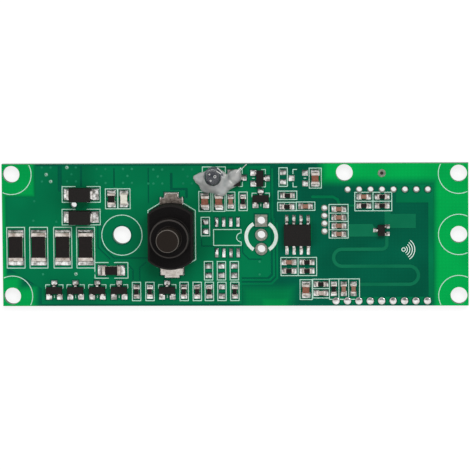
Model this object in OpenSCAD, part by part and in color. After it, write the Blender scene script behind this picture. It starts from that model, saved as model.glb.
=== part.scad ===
// Microwave radar sensor board with a push switch and a light sensor.
// The origin is at the middle of the board's underside, +X to the right and +Y to the top edge.
// Places are counted from the nearest edge, or from the middle lines, as on a board drawing.

/* [Board] */
// Length of the board
board_l = 83; // [78:0.5:100]
// Width of the board
board_w = 25.4; // [24.4:0.1:34]
// Thickness of the laminate
board_t = 1.6; // [1:0.1:2.4]
// Thickness of the copper foil with its finish
foil_t = 0.05; // [0.035:0.005:0.1]
// Thickness of the printed legend
ink_t = 0.02; // [0.01:0.005:0.04]
// Width of a printed legend line
ink_w = 0.14; // [0.12:0.01:0.22]

/* [Mounting holes] */
// Diameter of the corner holes and of the other fixing holes
fix_d = 3; // [2.6:0.1:3.1]
// Diameter of the larger hole between the resistors and the switch
mid_fix_d = 3.2; // [2.8:0.1:4]
// Distance of the corner holes from the short edges
fix_inset_x = 1.7; // [1.65:0.05:2.2]
// Distance of the corner holes from the long edges
fix_inset_y = 1.8; // [1.7:0.05:2.2]
// Radius of the printed ring round a fixing hole
ring_r = 3.6; // [3.2:0.05:3.7]

/* [Chip sizes] */
// Length of the large chip resistors
power_l = 5; // [4.6:0.1:5.3]
// Width of the large chip resistors
power_w = 2.5; // [2.2:0.1:2.7]
// Height of the large chip resistors
power_h = 0.6; // [0.4:0.05:0.8]
// Length of the medium chip resistor
medium_l = 3.2; // [2.9:0.1:3.4]
// Width of the medium chip resistor
medium_w = 1.6; // [1.4:0.1:1.8]
// Length of the 0805 chips
chip8_l = 2; // [1.8:0.05:2.1]
// Width of the 0805 chips
chip8_w = 1.25; // [1.1:0.05:1.35]
// Height of the 0805 capacitors
cap8_h = 0.9; // [0.6:0.05:1.1]
// Length of the 0603 chips
chip6_l = 1.6; // [1.45:0.05:1.7]
// Width of the 0603 chips
chip6_w = 0.8; // [0.7:0.05:0.9]
// Height of the 0603 chips
chip6_h = 0.5; // [0.35:0.05:0.8]
// Thickness of the metal that caps a chip's end
plate_t = 0.04; // [0.02:0.01:0.06]

/* [Moulded packages] */
// Length of a moulded diode
diode_l = 3.9; // [3.7:0.1:4.1]
// Width of a moulded diode
diode_w = 2.6; // [2.3:0.1:2.8]
// Height of a moulded diode above its pads
diode_h = 2.2; // [1.8:0.1:2.5]
// Length of a three-lead transistor
sot_l = 2.9; // [2.7:0.05:3]
// Width of a three-lead transistor
sot_w = 1.3; // [1.2:0.05:1.4]
// Height of a three-lead transistor
sot_h = 1.1; // [0.9:0.05:1.25]
// Length of the eight-lead controller
sop_l = 4.8; // [4.6:0.05:5.1]
// Width of the eight-lead controller
sop_w = 3.85; // [3.7:0.05:4.1]
// Height of the eight-lead controller
sop_h = 1.55; // [1.3:0.05:1.9]
// Distance between the controller's leads
sop_pitch = 1.27; // [1.2:0.01:1.3]

/* [Push switch] */
// Diameter of the switch housing
sw_d = 11.6; // [11:0.1:12.4]
// Distance between the two flats of the housing
sw_flats = 8; // [7.6:0.1:8.2]
// Height of the housing above the board
sw_h = 4.5; // [4.3:0.1:5.5]
// Diameter of the collar
collar_d = 6.9; // [6.6:0.1:7.4]
// Height of the collar above the board
collar_h = 7; // [6:0.1:7.4]
// Diameter of the plunger
plunger_d = 4.1; // [3.9:0.05:4.5]
// Height of the released plunger above the board
plunger_h = 11; // [9.4:0.1:12]
// Travel of the plunger
travel = 1.5; // [0.8:0.1:1.6]
// Radial running clearance of the plunger in its collar
run_gap = 0.05; // [0.03:0.01:0.09]
// Thickness of the terminals' sheet metal
term_t = 0.3; // [0.2:0.05:0.35]
// Width of the terminals where they leave the housing
term_w = 4.1; // [3.6:0.1:4.4]

/* [Light sensor] */
// Diameter of the clear lens
lens_d = 3; // [2.8:0.1:3.2]
// Diameter of the lens flange
flange_d = 3.5; // [3.3:0.1:3.8]
// Height of the lens above its seat
lens_h = 4.4; // [4:0.1:5.4]
// Distance between the two legs
leg_pitch = 2.54; // [2.5:0.01:2.6]

/* [Aerial] */
// Width of the serpentine strip
strip_w = 0.6; // [0.4:0.05:0.8]
// Radius of the left turn of the strip
turn_a = 1.52; // [1.3:0.02:1.6]
// Radius of the right turn of the strip
turn_b = 1.62; // [1.4:0.02:1.7]
// Radius of the first bend below the radar transistor
turn_c = 0.9; // [0.6:0.05:1]

/* [Hole rows] */
// Distance between the holes of the two header rows
header_pitch = 2.03; // [1.9:0.01:2.06]
// Diameter of a header hole
header_d = 0.9; // [0.7:0.05:1]
// Distance between the holes of the small column
column_pitch = 1.38; // [1.3:0.01:1.42]
// Distance between the holes of the three-pin place
pin_pitch = 2.54; // [2.5:0.01:2.6]
// Diameter of a hole of the three-pin place
pin_d = 1.4; // [1:0.1:1.5]

/* [Hidden] */

cut = 0.1;                 // how far a cutting solid passes a face
face = board_t;            // front face of the laminate
seat = board_t + foil_t;   // top of the pads, where the parts are soldered

// The layout spreads with the board. Parts, holes and the pitches of rows keep their sizes.
spread_x = board_l / 83;
spread_y = board_w / 25.4;
function from_left(x) = x * spread_x - board_l / 2;
function from_right(x) = board_l / 2 - x * spread_x;
function from_top(y) = board_w / 2 - y * spread_y;
function from_bottom(y) = y * spread_y - board_w / 2;
function mid(y) = y * spread_y;

// A chip's sizes: length, width, height, length of an end cap, length of pad past its end
POWER = [power_l, power_w, power_h, 0.6, 0.65];
MEDIUM = [medium_l, medium_w, 0.6, 0.5, 0.8];
RES8 = [chip8_l, chip8_w, 0.5, 0.4, 0.5];
CAP8 = [chip8_l, chip8_w, cap8_h, 0.45, 0.5];
CHIP6 = [chip6_l, chip6_w, chip6_h, 0.3, 0.5];
pad_heel = 0.1;            // pad under the chip, inside its end cap
pad_side = 0.12;           // pad beside the chip
box_room = [0.23, 0.5];    // from a pad's side and from its end to the printed line
box8_room = [0.33, 0.28];
box6_room = [0.23, 0.36];
mask_gap = 0.2;            // copper kept clear of a pad

sensor_x = from_left(37.9);
sensor_y = from_top(2.2);

// Where the chips sit: middle x, middle y, turn
power_at = [for (x = [2.4, 6.5, 10.8, 14.9]) [from_left(x), mid(-2.22), 90]];
medium_at = [[from_left(19.45), from_bottom(6.4), 0]];
res8_at = [[from_left(19.6), from_top(6.2), 90]];
led_at = [[from_left(21.85), from_top(6.2), 90]];
res6_at = concat(
    [for (x = [23.9, 26.3, 32.4, 34.75, 36.9, 41.45]) [from_left(x), from_bottom(2.6), 90]],
    [[from_left(43.05), from_top(6.7), 90]],
    [[from_right(32.05), from_top(5.65), 0], [from_right(32.15), from_top(7.65), 0]],
    [[from_right(15.25), from_top(5.9), 0]],
    [for (x = [18.5, 15.25]) [from_right(x), from_top(7.5), 0]],
    [[from_right(28.65), mid(-4.87), 0]],
    [for (x = [31.85, 28.65]) [from_right(x), mid(-6.42), 0]],
    [[from_right(26.2), from_bottom(3.9), 0], [from_right(23.9), from_bottom(3.05), 90]]);
column_step = 1.48;
cap6_column_y = [for (i = [0 : 3]) mid(2.37) + (i - 1.5) * column_step];
cap6_at = concat(
    [[from_left(40.85), from_top(6.7), 90], [from_right(28.85), from_top(7.6), 0]],
    [for (y = cap6_column_y) [from_right(22.93), y, 0]],
    [[from_right(18.5), from_top(5.9), 0], [from_right(31.85), mid(-4.87), 0]],
    [for (x = [22.15, 20.4]) [from_right(x), from_bottom(3.05), 90]]);
cap8_at = [
    [from_left(36.25), from_top(6.7), 90], [from_left(38.75), from_top(6.7), 90],
    [from_right(27.1), from_top(2.6), 90], [from_right(28.85), from_bottom(2.9), 90]];
pale_at = [[from_right(26.2), from_bottom(2.3), 0]];
empty6_at = concat(
    [[from_left(39.15), from_bottom(2.6), 90]],
    [for (x = [36.8, 39.1, 41.4]) [from_left(x), from_bottom(6.3), 90]],
    [[from_left(36.3), mid(1.5), 90], [from_right(32.8), from_top(2.4), 90]]);
diode_at = [[from_left(14.2), from_top(5.4), 0], [from_left(14.15), from_top(9.45), 0]];
sot_at = concat(
    [for (x = [9.2, 13, 16.9, 20.8, 29.4]) [from_left(x), from_bottom(2.87), 0]],
    [[sensor_x + 4.1, sensor_y - 0.3, -90], [from_right(36.9), from_top(2.6), -90]],
    [[from_right(36.8), from_top(6.2), 0]]);
empty_sot_at = [[from_right(30.1), from_top(2.6), 90]];
radar_at = [[from_right(15.4), mid(0.8), 90]];
sop_at = [[from_right(30.3), 0, 0]];
empty_sop_at = [[from_left(40.2), mid(-0.45), 0]];
sw_x = from_left(30.3);

// Chips that have a printed box of their own
boxed6_at = concat([for (i = [0 : 8]) res6_at[i]], [cap6_at[0], cap6_at[1]], empty6_at);

// Parts that sit off the middle of their pads
power_slip = 0.15;         // up the board
diode_slip = -0.2;         // along the board
power_chip_at = [for (p = power_at) [p.x, p.y + power_slip, p[2]]];
diode_body_at = [for (p = diode_at) [p.x + diode_slip, p.y, p[2]]];

// Moulded packages: length, width, height, gap under the body
DIODE = [diode_l, diode_w, diode_h, 0.2];
SOT = [sot_l, sot_w, sot_h, 0.1];
RADAR = [2, 1.25, 0.9, 0.08];
SOP = [sop_l, sop_w, sop_h, 0.15];
lead_t = 0.15;             // thickness of the thin leads
lead_w = 0.42;
sop_span = sop_w + 2.15;   // from tip to tip of the controller's leads
sop_foot = 0.6;
draft = 0.12;              // how far a moulded side leans in, per unit of height

// Holes with a plated lining: x, y, bore, pad
header_top_at = [for (i = [0 : 7]) [from_right(7.15) - i * header_pitch, from_top(4.65)]];
header_low_at = [for (i = [0 : 8]) [from_right(7.3) - i * header_pitch, from_bottom(0.85)]];
column_at = [for (i = [0 : 3]) [from_right(25.5), mid(2.69) + (i - 1.5) * column_pitch]];
pin_x = from_right(36.77);
pin_at = [for (i = [-1 : 1]) [pin_x, i * pin_pitch]];
leg_at = [for (s = [-1, 1]) [sensor_x + s * leg_pitch / 2, sensor_y]];
test_at = [[from_right(15.3), from_top(1.75)]];
liner_t = 0.05;            // plating on the wall of a hole
header_pad = 1.25;
column_pad = 1.15;
column_d = 0.85;
pin_pad = 2.15;
leg_d = 0.7;
leg_pad = 1.2;
test_d = 0.6;
test_pad = 1.4;
plated = concat(
    [for (p = header_top_at) [p.x, p.y, header_d, header_d + 0.2]],
    [for (p = header_low_at) [p.x, p.y, header_d, header_pad]],
    [for (p = column_at) [p.x, p.y, column_d, column_pad]],
    [for (p = pin_at) [p.x, p.y, pin_d, pin_pad]],
    [for (p = leg_at) [p.x, p.y, leg_d, leg_pad]],
    [for (p = test_at) [p.x, p.y, test_d, test_pad]]);

// Vias of the six wire pads: five to a pad, like the five on a die
wire_x = [for (x = [8, 12.5, 17.8, 22.5, 27.9, 33.2]) from_left(x)];
wire_y = from_top(2.05);   // middle of the six pads
wire_pad = [2.6, 3.6];
die_y = [for (y = [1.83, 1.83, 2.13, 2.13, 2.25, 2.25]) from_top(y)];
via_step = [0.79, 1.25];
via_d = 0.42;
die = [[-1, 1], [1, 1], [0, 0], [-1, -1], [1, -1]];
open_die = [[0, 2], [0, 4], [1, 0]];
function die_via(i, j) = [wire_x[i] + die[j].x * via_step.x, die_y[i] + die[j].y * via_step.y];
open_at = concat(
    [for (k = open_die) die_via(k[0], k[1])],
    [[from_left(13.1), from_bottom(5.75)]]);
wire_vias = [for (i = [0 : 5]) for (j = [0 : 4])
    if (len([for (k = open_die) if (k[0] == i && k[1] == j) 1]) == 0)
        die_via(i, j)];
via_reach = sw_d / 2 + 0.47;   // the via nearest to the switch
lone_vias = [
    [from_left(5.8), from_top(6.6)], [from_left(5.6), from_top(10.1)], [from_left(9.7), from_top(10.3)],
    [from_left(7.2), from_bottom(5.7)], [from_left(16.6), from_bottom(5.9)],
    [from_left(26.2), from_top(3.5)], [sw_x - 0.42 * via_reach, -0.91 * via_reach],
    [from_right(37.1), from_bottom(7.9)], [from_right(37.1), from_bottom(5.6)],
    [from_left(42.4), mid(-0.6)], [from_left(38.6), from_bottom(8.9)]];
plugged_at = concat(wire_vias, lone_vias);

// Fixing holes: x, y, diameter
corner_at = [for (sx = [-1, 1], sy = [-1, 1])
    [sx * (board_l / 2 - fix_inset_x), sy * (board_w / 2 - fix_inset_y), fix_d]];
mid_fix = [from_left(21.4), 0, mid_fix_d];
end_fix = [from_right(fix_inset_x), 0, fix_d];
top_fix = [from_right(21.95), board_w / 2 - 1.65, fix_d];
small_hole = [from_left(12.85), from_top(7.25), 1];
fix_at = concat(corner_at, [mid_fix, end_fix, top_fix, small_hole]);

// Switch heights, from the front face
wall_z = 1.9;              // top of the base wall
floor_z = 0.95;            // top of the base floor, level with the terminals' inner ends
roof_t = 0.85;
roof_z = sw_h - roof_t;
wall_t = 1;
bridge_t = 0.15;
flange_t = 0.6;
top_play = 0.05;           // play of the plunger's flange under the roof
flange_z = roof_z - top_play - flange_t;
spring_od = 2.7;
spring_wire = 0.26;
well_d = 3.2;              // bore in the plunger that holds the spring
well_z = plunger_h - 3.6;
tab_out = min(sw_d / 2 + 1.75, board_w / 2 - 4.45);   // tip of a terminal, clear of the row below
tab_neck_y = min(sw_d / 2 + 0.8, tab_out - 0.2);      // where the terminal narrows
tab_in = 1.3;
tab_neck = 2.4;
tab_round = 0.15;

module at(places)
    for (p = places)
        translate([p.x, p.y, 0])
            rotate(p[2])
                children();

module disc(p, d) translate([p.x, p.y]) circle(d = d, $fn = 40);

module board_2d() square([board_l, board_w], center = true);

module area_2d(x0, y0, x1, y1) translate([x0, y0]) square([x1 - x0, y1 - y0]);

// A line of even width through the points, with round corners and ends
module line_2d(points, w) {
    for (p = points) translate(p) circle(d = w, $fn = 24);
    for (i = [0 : len(points) - 2]) {
        run = points[i + 1] - points[i];
        translate(points[i])
            rotate(atan2(run.y, run.x))
                translate([0, -w / 2])
                    square([norm(run), w]);
    }
}

// Part of a ring, from angle a over the sweep
module arc_2d(r, w, a, sweep) {
    reach = r + w;
    intersection() {
        difference() {
            circle(r = r + w / 2, $fn = 72);
            circle(r = r - w / 2, $fn = 72);
        }
        polygon(concat([[0, 0]], [for (k = [0 : 4])
            2 * reach * [cos(a + sweep * k / 4), sin(a + sweep * k / 4)]]));
    }
}

// Pads of each kind of part
module chip_pads_2d(size, grow = 0) {
    inner = size[0] / 2 - size[3] - pad_heel - grow;
    outer = size[0] / 2 + size[4] + grow;
    half_w = size[1] / 2 + pad_side + grow;
    for (s = [-1, 1])
        translate([s * (inner + outer) / 2, 0])
            square([outer - inner, 2 * half_w], center = true);
}

module diode_pads_2d(grow = 0)
    for (s = [-1, 1])
        translate([s * (diode_l / 2 + 0.25), 0])
            square([1.8 + 2 * grow, 2 + 2 * grow], center = true);

// One lead at the top, two at the bottom
module three_pads_2d(across, reach, pad, grow = 0)
    for (p = [[0, 1], [-1, -1], [1, -1]])
        translate([p.x * across, p.y * reach])
            square([pad[0] + 2 * grow, pad[1] + 2 * grow], center = true);

module sop_pads_2d(grow = 0)
    for (i = [0 : 3], s = [-1, 1])
        translate([(i - 1.5) * sop_pitch, s * (sop_w / 2 + 0.82)])
            square([0.54 + 2 * grow, 1.6 + 2 * grow], center = true);

sot_pad = [1, 1];
radar_pad = [0.7, 0.8];
sot_across = 0.95;
sot_reach = 1.2;
radar_across = 0.66;
radar_reach = 1.05;
sw_pad_in = sw_d / 2 - 0.75;
solder_reach = 0.55;       // the lower pad stays wide past the terminal's shoulder
module switch_pads_2d(grow = 0)
    for (s = [-1, 1])
        translate([sw_x, 0]) {
            wide_end = tab_neck_y + (s < 0 ? solder_reach : 0.05);
            half = term_w / 2 + 0.04 + grow;
            neck = tab_neck / 2 + 0.1 + grow;
            tip = max(tab_out + 0.1, wide_end + 0.05) + grow;
            polygon([[-half, s * (sw_pad_in - grow)], [half, s * (sw_pad_in - grow)],
                [half, s * (wide_end + grow)], [neck, s * (wide_end + grow)], [neck, s * tip],
                [-neck, s * tip], [-neck, s * (wide_end + grow)], [-half, s * (wide_end + grow)]]);
        }

module pads_2d(grow = 0) {
    at(power_at) chip_pads_2d(POWER, grow);
    at(medium_at) chip_pads_2d(MEDIUM, grow);
    at(concat(res8_at, led_at, cap8_at)) chip_pads_2d(CAP8, grow);
    at(concat(res6_at, cap6_at, pale_at, empty6_at)) chip_pads_2d(CHIP6, grow);
    at(diode_at) diode_pads_2d(grow);
    at(concat(sot_at, empty_sot_at)) three_pads_2d(sot_across, sot_reach, sot_pad, grow);
    at(radar_at) three_pads_2d(radar_across, radar_reach, radar_pad, grow);
    at(concat(sop_at, empty_sop_at)) sop_pads_2d(grow);
    switch_pads_2d(grow);
}

module liner_pads_2d(grow = 0) {
    for (p = plated) disc(p, p[3] + 2 * grow);
    translate(pin_at[2]) square(pin_pad + 0.15 + 2 * grow, center = true);
}

// Board, copper and print
module bare_board() color("#0a6b45") difference() {
    linear_extrude(board_t) difference() {
        board_2d();
        for (p = fix_at) disc(p, p[2]);
        for (p = plated) disc(p, p[2] + 2 * liner_t);
        for (p = open_at) disc(p, via_d);
    }
    translate([0, 0, -cut]) linear_extrude(foil_t + cut) {
        ground_plane_2d();
        wire_pads_2d();
        for (p = plated) disc(p, p[3]);
    }
}

plane_top = 3.9;           // edge of the ground plane behind the upper header row
corner_free = [6, 5.9];    // corner kept free of copper round the upper left hole
low_free = [6.9, 3.2, 6.9];
back_gap = 0.3;            // copper kept clear of a pad on the back
plane_end = header_top_at[0].x + header_d / 2 + back_gap + 0.2;   // right edge of the copper
frame_w = 0.9;
edge_free = 0.8;
rim_free = 0.35;
module wire_pads_2d(grow = 0)
    for (x = wire_x)
        translate([x, wire_y])
            square([wire_pad.x + 2 * grow, wire_pad.y + 2 * grow], center = true);

module ground_plane_2d() difference() {
    polygon([
        [from_left(edge_free), from_bottom(low_free[0])],
        [from_left(low_free[2]), from_bottom(low_free[1])],
        [from_left(low_free[2]), from_bottom(rim_free)], [from_right(38), from_bottom(rim_free)],
        [from_right(37), from_bottom(2.4)], [from_right(31.5), from_bottom(2.4)],
        [from_right(30.5), from_bottom(rim_free)], [plane_end, from_bottom(rim_free)],
        [plane_end, from_top(plane_top)], [from_right(26), from_top(plane_top)],
        [from_right(30), from_top(2.2)], [from_right(31), from_top(rim_free)],
        [from_left(corner_free[0]), from_top(rim_free)],
        [from_left(corner_free[0]), from_top(corner_free[1])],
        [from_left(edge_free), from_top(corner_free[1])]]);
    wire_pads_2d(mask_gap);
    for (p = plated) disc(p, p[3] + 2 * back_gap);
    for (p = fix_at) disc(p, p[2] + 0.8);
    for (p = open_at) disc(p, via_d + 0.6);
}

module ground_plane() color("#0d7a4c") linear_extrude(foil_t) ground_plane_2d();

module wire_pads() color("#c9cdd0") linear_extrude(foil_t) difference() {
    wire_pads_2d();
    for (p = open_at) disc(p, via_d);
}

track_w = 0.36;
gap_w = 0.22;
pour_edge = 35.1;          // right edge of the copper area, from the right edge of the board
module pour_2d() {
    polygon([
        [from_left(edge_free), from_bottom(low_free[0])],
        [from_left(low_free[2]), from_bottom(low_free[1])],
        [from_left(low_free[2]), from_bottom(rim_free)], [from_left(42.7), from_bottom(rim_free)],
        [from_left(42.7), mid(-7.6)], [from_right(pour_edge + 0.6), mid(-7.6)],
        [from_right(pour_edge), mid(-7)],
        [from_right(pour_edge), from_top(rim_free)], [from_left(corner_free[0]), from_top(rim_free)],
        [from_left(corner_free[0]), from_top(corner_free[1])],
        [from_left(edge_free), from_top(corner_free[1])]]);
    area_2d(from_right(12.8), from_top(7), plane_end, from_top(3.8));
    area_2d(plane_end - frame_w, from_bottom(rim_free), plane_end, from_top(6));
    area_2d(from_right(24.4), from_bottom(rim_free), plane_end, from_bottom(1.6));
}

module pour_gaps_2d() {
    top = from_top(rim_free - cut);
    line_2d([[from_left(10.4), top], [from_left(10.4), from_top(4.6)]], 0.7);
    line_2d([[from_left(14.2), top], [from_left(14.2), from_top(3.9)]], 0.35);
    line_2d([[from_left(20.1), from_top(0.8)], [from_left(20.1), from_top(4)]], gap_w);
    line_2d([[from_left(26.2), from_top(0.8)], [from_left(26.2), from_top(6.9)]], gap_w);
    line_2d([[from_left(30.3), from_top(1.8)], [from_left(30.3), from_top(4.5)],
        [from_left(33), from_top(4.5)], [from_left(33), from_top(5.9)]], 0.45);
    line_2d([[from_left(17.1), mid(3.4)], [from_left(17.1), mid(-2.2)],
        [from_left(19.2), mid(-4.3)]], gap_w);
    line_2d([[from_left(17.8), mid(2)], [from_left(17.8), mid(-2)], [from_left(19.9), mid(-4.1)],
        [from_left(26), mid(-4.1)]], gap_w);
    line_2d([[from_left(22.5), mid(-5.4)], [from_left(23.3), mid(-6.2)], [from_left(23.3), mid(-8)]], gap_w);
    line_2d([[from_left(24.5), mid(-8)], [from_left(24.5), mid(-5.9)], [from_left(25.6), mid(-4.9)]], gap_w);
    line_2d([[from_left(35.6), mid(-0.9)], [from_left(35.6), mid(-2)], [from_left(37.6), mid(-2)]], gap_w);
    line_2d([[from_left(42.9), mid(-1.5)], [from_left(42.9), mid(-3.2)], [from_left(44), mid(-4.35)],
        [from_right(36.8), mid(-4.35)]], gap_w);
}

module tracks_2d() {
    line_2d([[from_left(42.8), mid(-8.05)], [from_right(35.3), mid(-8.05)], [from_right(34.55), mid(-7.3)],
        [from_right(34.55), mid(2.8)], [from_right(34.75), mid(3)],
        [from_right(34.75), from_top(1)]], track_w);
    line_2d([[from_left(42.8), mid(-8.75)], [from_right(35), mid(-8.75)], [from_right(33.95), mid(-7.7)],
        [from_right(33.95), mid(2)]], track_w);
    line_2d([[from_right(27.6), from_top(5.95)], [from_right(24), from_top(5.95)],
        [from_right(23.2), from_top(6.4)], [from_right(22.9), from_top(7.1)]], 0.5);
    line_2d([[from_right(21.6), from_top(7.5)], [from_right(19.9), from_top(7.5)]], track_w);
    line_2d([[from_right(28), mid(-1)], [from_right(28), mid(3.3)]], track_w);
}

module front_copper_2d() difference() {
    union() {
        difference() {
            pour_2d();
            pour_gaps_2d();
        }
        tracks_2d();
    }
    pads_2d(mask_gap);
    liner_pads_2d(mask_gap);
    for (p = fix_at) disc(p, p[2] + 0.5);
    for (p = open_at) disc(p, via_d + 0.3);
}

module front_copper() color("#00704a") translate([0, 0, face]) linear_extrude(foil_t) front_copper_2d();

// The aerial: two patches and a strip that winds down the board in three runs
radar_x = radar_at[0].x;
radar_y = radar_at[0].y;
run_a = mid(-2.6);
run_b = run_a - 2 * turn_a;
run_c = run_b - 2 * turn_b;
lead_x = radar_x + radar_reach - 0.1;
left_turn_x = from_right(22.4);
right_turn_x = from_right(10.5);
module turn_2d(x, y, r, a) translate([x, y]) arc_2d(r, strip_w, a, 180);
module serpentine_2d() {
    line_2d([[lead_x, radar_y - 0.6], [lead_x, run_a + turn_c]], strip_w);
    translate([lead_x - turn_c, run_a + turn_c]) arc_2d(turn_c, strip_w, -90, 90);
    line_2d([[lead_x - turn_c, run_a], [left_turn_x, run_a]], strip_w);
    turn_2d(left_turn_x, run_a - turn_a, turn_a, 90);
    line_2d([[left_turn_x, run_b], [right_turn_x, run_b]], strip_w);
    turn_2d(right_turn_x, run_b - turn_b, turn_b, -90);
    line_2d([[right_turn_x, run_c], [from_right(19.1), run_c]], strip_w);
}

module patches_2d() {
    low = radar_y - 1.15;
    polygon([[from_right(21.2), radar_y + 1.1], [from_right(17), radar_y + 1.1],
        [radar_x - radar_reach, radar_y + 0.3], [radar_x - 0.5, radar_y - 0.3], [radar_x - 0.5, low],
        [from_right(21.2), low]]);
    area_2d(lead_x - 0.4, radar_y + 0.35, from_right(9.3), radar_y + 2.9);
    area_2d(lead_x - 0.4, radar_y + 0.35, lead_x + 0.7, radar_y + 3.75);
}

module aerial_2d() difference() {
    union() {
        serpentine_2d();
        patches_2d();
    }
    pads_2d(0);
    front_copper_2d();
}

module aerial_strip() color("#17885c") translate([0, 0, face]) linear_extrude(foil_t) aerial_2d();

module solder_pads() color("#cfd2d3") translate([0, 0, face]) linear_extrude(foil_t) difference() {
    pads_2d(0);
    liner_pads_2d(0.05);
}

module hole_liners() color("#c8c4b0") for (i = [0 : len(plated) - 1]) {
    p = plated[i];
    square_pad = p.x == pin_at[2].x && p.y == pin_at[2].y;
    translate([p.x, p.y, 0]) difference() {
        union() {
            cylinder(d = p[2] + 2 * liner_t, h = seat, $fn = 32);
            cylinder(d = p[3], h = foil_t, $fn = 32);
            translate([0, 0, face])
                if (square_pad)
                    translate([-pin_pad / 2, -pin_pad / 2, 0]) cube([pin_pad, pin_pad, foil_t]);
                else
                    cylinder(d = p[3], h = foil_t, $fn = 32);
        }
        translate([0, 0, -cut]) cylinder(d = p[2], h = seat + 2 * cut, $fn = 32);
    }
}

module plugged_vias() color("#2a8a66") for (p = plugged_at)
    translate([p.x, p.y, seat]) rotate_extrude($fn = 20)
        polygon([[0, 0], [via_d / 2, 0], [via_d / 2 - 0.05, 0.03], [0, 0.03]]);

module open_vias() color("#d8d8d0") for (p = open_at)
    translate([p.x, p.y, 0]) difference() {
        union() {
            cylinder(d = via_d, h = seat, $fn = 24);
            translate([0, 0, face]) cylinder(d = via_d + 0.2, h = foil_t, $fn = 24);
        }
        translate([0, 0, -cut]) cylinder(d = via_d - 0.08, h = seat + 2 * cut, $fn = 24);
    }

// Printed outlines
module box_2d(x0, y0, x1, y1)
    line_2d([[x0, y0], [x1, y0], [x1, y1], [x0, y1], [x0, y0]], ink_w);

module chip_box_2d(size, room) {
    x = size[0] / 2 + size[4] + room[1];
    y = size[1] / 2 + pad_side + room[0];
    box_2d(-x, -y, x, y);
}

// A box with an opening in the middle of its two long sides
module open_box_2d(x, y, gap)
    for (s = [-1, 1])
        line_2d([[s * gap, y], [s * x, y], [s * x, -y], [s * gap, -y]], ink_w);

module sot_marks_2d() {
    for (s = [-1, 1])
        line_2d([[s * 1.55, 0.3], [s * 1.55, 0.95], [s * 0.8, 0.95]], ink_w);
    line_2d([[0, -1], [0, -1.35]], ink_w);
}

module hole_ring_2d(p) translate([p.x, p.y]) difference() {
    circle(r = ring_r + ink_w / 2, $fn = 90);
    circle(r = ring_r - ink_w / 2, $fn = 90);
}

module switch_marks_2d() translate([sw_x, 0]) {
    x = sw_flats / 2 + 0.22;
    end_y = sw_d / 2 - 0.05;
    turn_y = sw_d / 2 - 1.4;
    for (s = [-1, 1])
        line_2d([[s * 2, end_y], [s * x, turn_y], [s * x, -turn_y], [s * 2, -end_y]], ink_w);
}

module group_boxes_2d() {
    col = cap6_column_y;
    box_2d(from_right(24.7), col[0] - 0.75, from_right(21.3), col[3] + 0.8);
    for (i = [0 : 2])
        translate([0, col[i] + column_step / 2])
            line_2d([[from_right(24.7), 0], [from_right(21.3), 0]], ink_w);
    box_2d(from_right(20.1), from_top(8.45), from_right(13.55), from_top(5.15));
    line_2d([[from_right(16.88), from_top(8.45)], [from_right(16.88), from_top(5.15)]], ink_w);
    line_2d([[from_right(20.1), from_top(6.75)], [from_right(13.55), from_top(6.75)]], ink_w);
    box_2d(from_right(33.3), mid(-7.3), from_right(26.95), mid(-4.05));
    line_2d([[from_right(30.25), mid(-7.3)], [from_right(30.25), mid(-4.05)]], ink_w);
    box_2d(from_right(27.65), from_bottom(1.4), from_right(24.7), from_bottom(4.75));
    line_2d([[from_right(24.7), from_bottom(1.2)], [from_right(24.7), from_bottom(4.8)],
        [from_right(19.35), from_bottom(4.8)], [from_right(19.35), from_bottom(1.15)],
        [from_right(24.7), from_bottom(1.15)]], ink_w);
    for (x = [23.03, 21.28])
        line_2d([[from_right(x), from_bottom(4.8)], [from_right(x), from_bottom(1.15)]], ink_w);
    line_2d([[from_right(27.65), from_bottom(3.07)], [from_right(24.7), from_bottom(3.07)]], ink_w);
    translate([sensor_x, from_top(0.55)])
        line_2d([[-2.05, -1.2], [-2.05, 0], [2.05, 0], [2.05, -1.2]], ink_w);
}

module pin_ring_2d() translate([pin_x, -0.32])
    for (a = [-59, 121]) arc_2d(2.67, 0.62, a, 118);

module empty_sop_box_2d() translate([empty_sop_at[0].x, empty_sop_at[0].y]) {
    x = sop_l / 2 + 0.05;
    y = 1.42;
    notch = 0.8;
    line_2d([[x, notch], [x, y], [-x, y], [-x, -y], [x, -y], [x, -notch]], ink_w);
    translate([x, 0]) arc_2d(notch, ink_w, 90, 180);
}

module legend_2d() {
    intersection() {
        offset_in = 0.15;
        square([board_l - 2 * offset_in, board_w - 2 * offset_in], center = true);
        for (p = concat(corner_at, [mid_fix, end_fix])) hole_ring_2d(p);
    }
    difference() {
        union() {
            at(power_at) chip_box_2d(POWER, box_room);
            at(medium_at) open_box_2d(2.95, 1.4, 0.55);
            at(concat(res8_at, led_at, cap8_at)) chip_box_2d(CAP8, box8_room);
            at(boxed6_at) chip_box_2d(CHIP6, box6_room);
            at(diode_at) open_box_2d(3.4, 1.4, 1.05);
            at(concat(sot_at, empty_sot_at)) sot_marks_2d();
            switch_marks_2d();
            group_boxes_2d();
            pin_ring_2d();
            empty_sop_box_2d();
        }
        pads_2d(0.06);
        liner_pads_2d(0.06);
        for (p = open_at) disc(p, via_d + 0.3);
        for (p = plugged_at) disc(p, via_d + 0.1);
    }
}

module printed_legend() color("#dfeee4") {
    translate([0, 0, seat]) linear_extrude(ink_t) legend_2d();
    translate([0, 0, face]) linear_extrude(foil_t) difference() {
        legend_2d();
        front_copper_2d();
        aerial_2d();
    }
}

// Chips: a core, a metal cap on each end and, on a resistor, a dark coat between the caps
coat_t = 0.03;
module chip_core(size) translate([0, 0, seat + size[2] / 2])
    cube([size[0] - 2 * plate_t, size[1] - 2 * plate_t, size[2] - 2 * plate_t], center = true);

module chip_coat(size)
    translate([0, 0, seat + size[2] - plate_t + coat_t / 2])
        cube([size[0] - 2 * size[3], size[1] - 2 * plate_t, coat_t], center = true);

module chip_ends(size) difference() {
    for (s = [-1, 1])
        translate([s * (size[0] - size[3]) / 2, 0, seat + size[2] / 2])
            cube([size[3], size[1], size[2]], center = true);
    chip_core(size);
}

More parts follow.
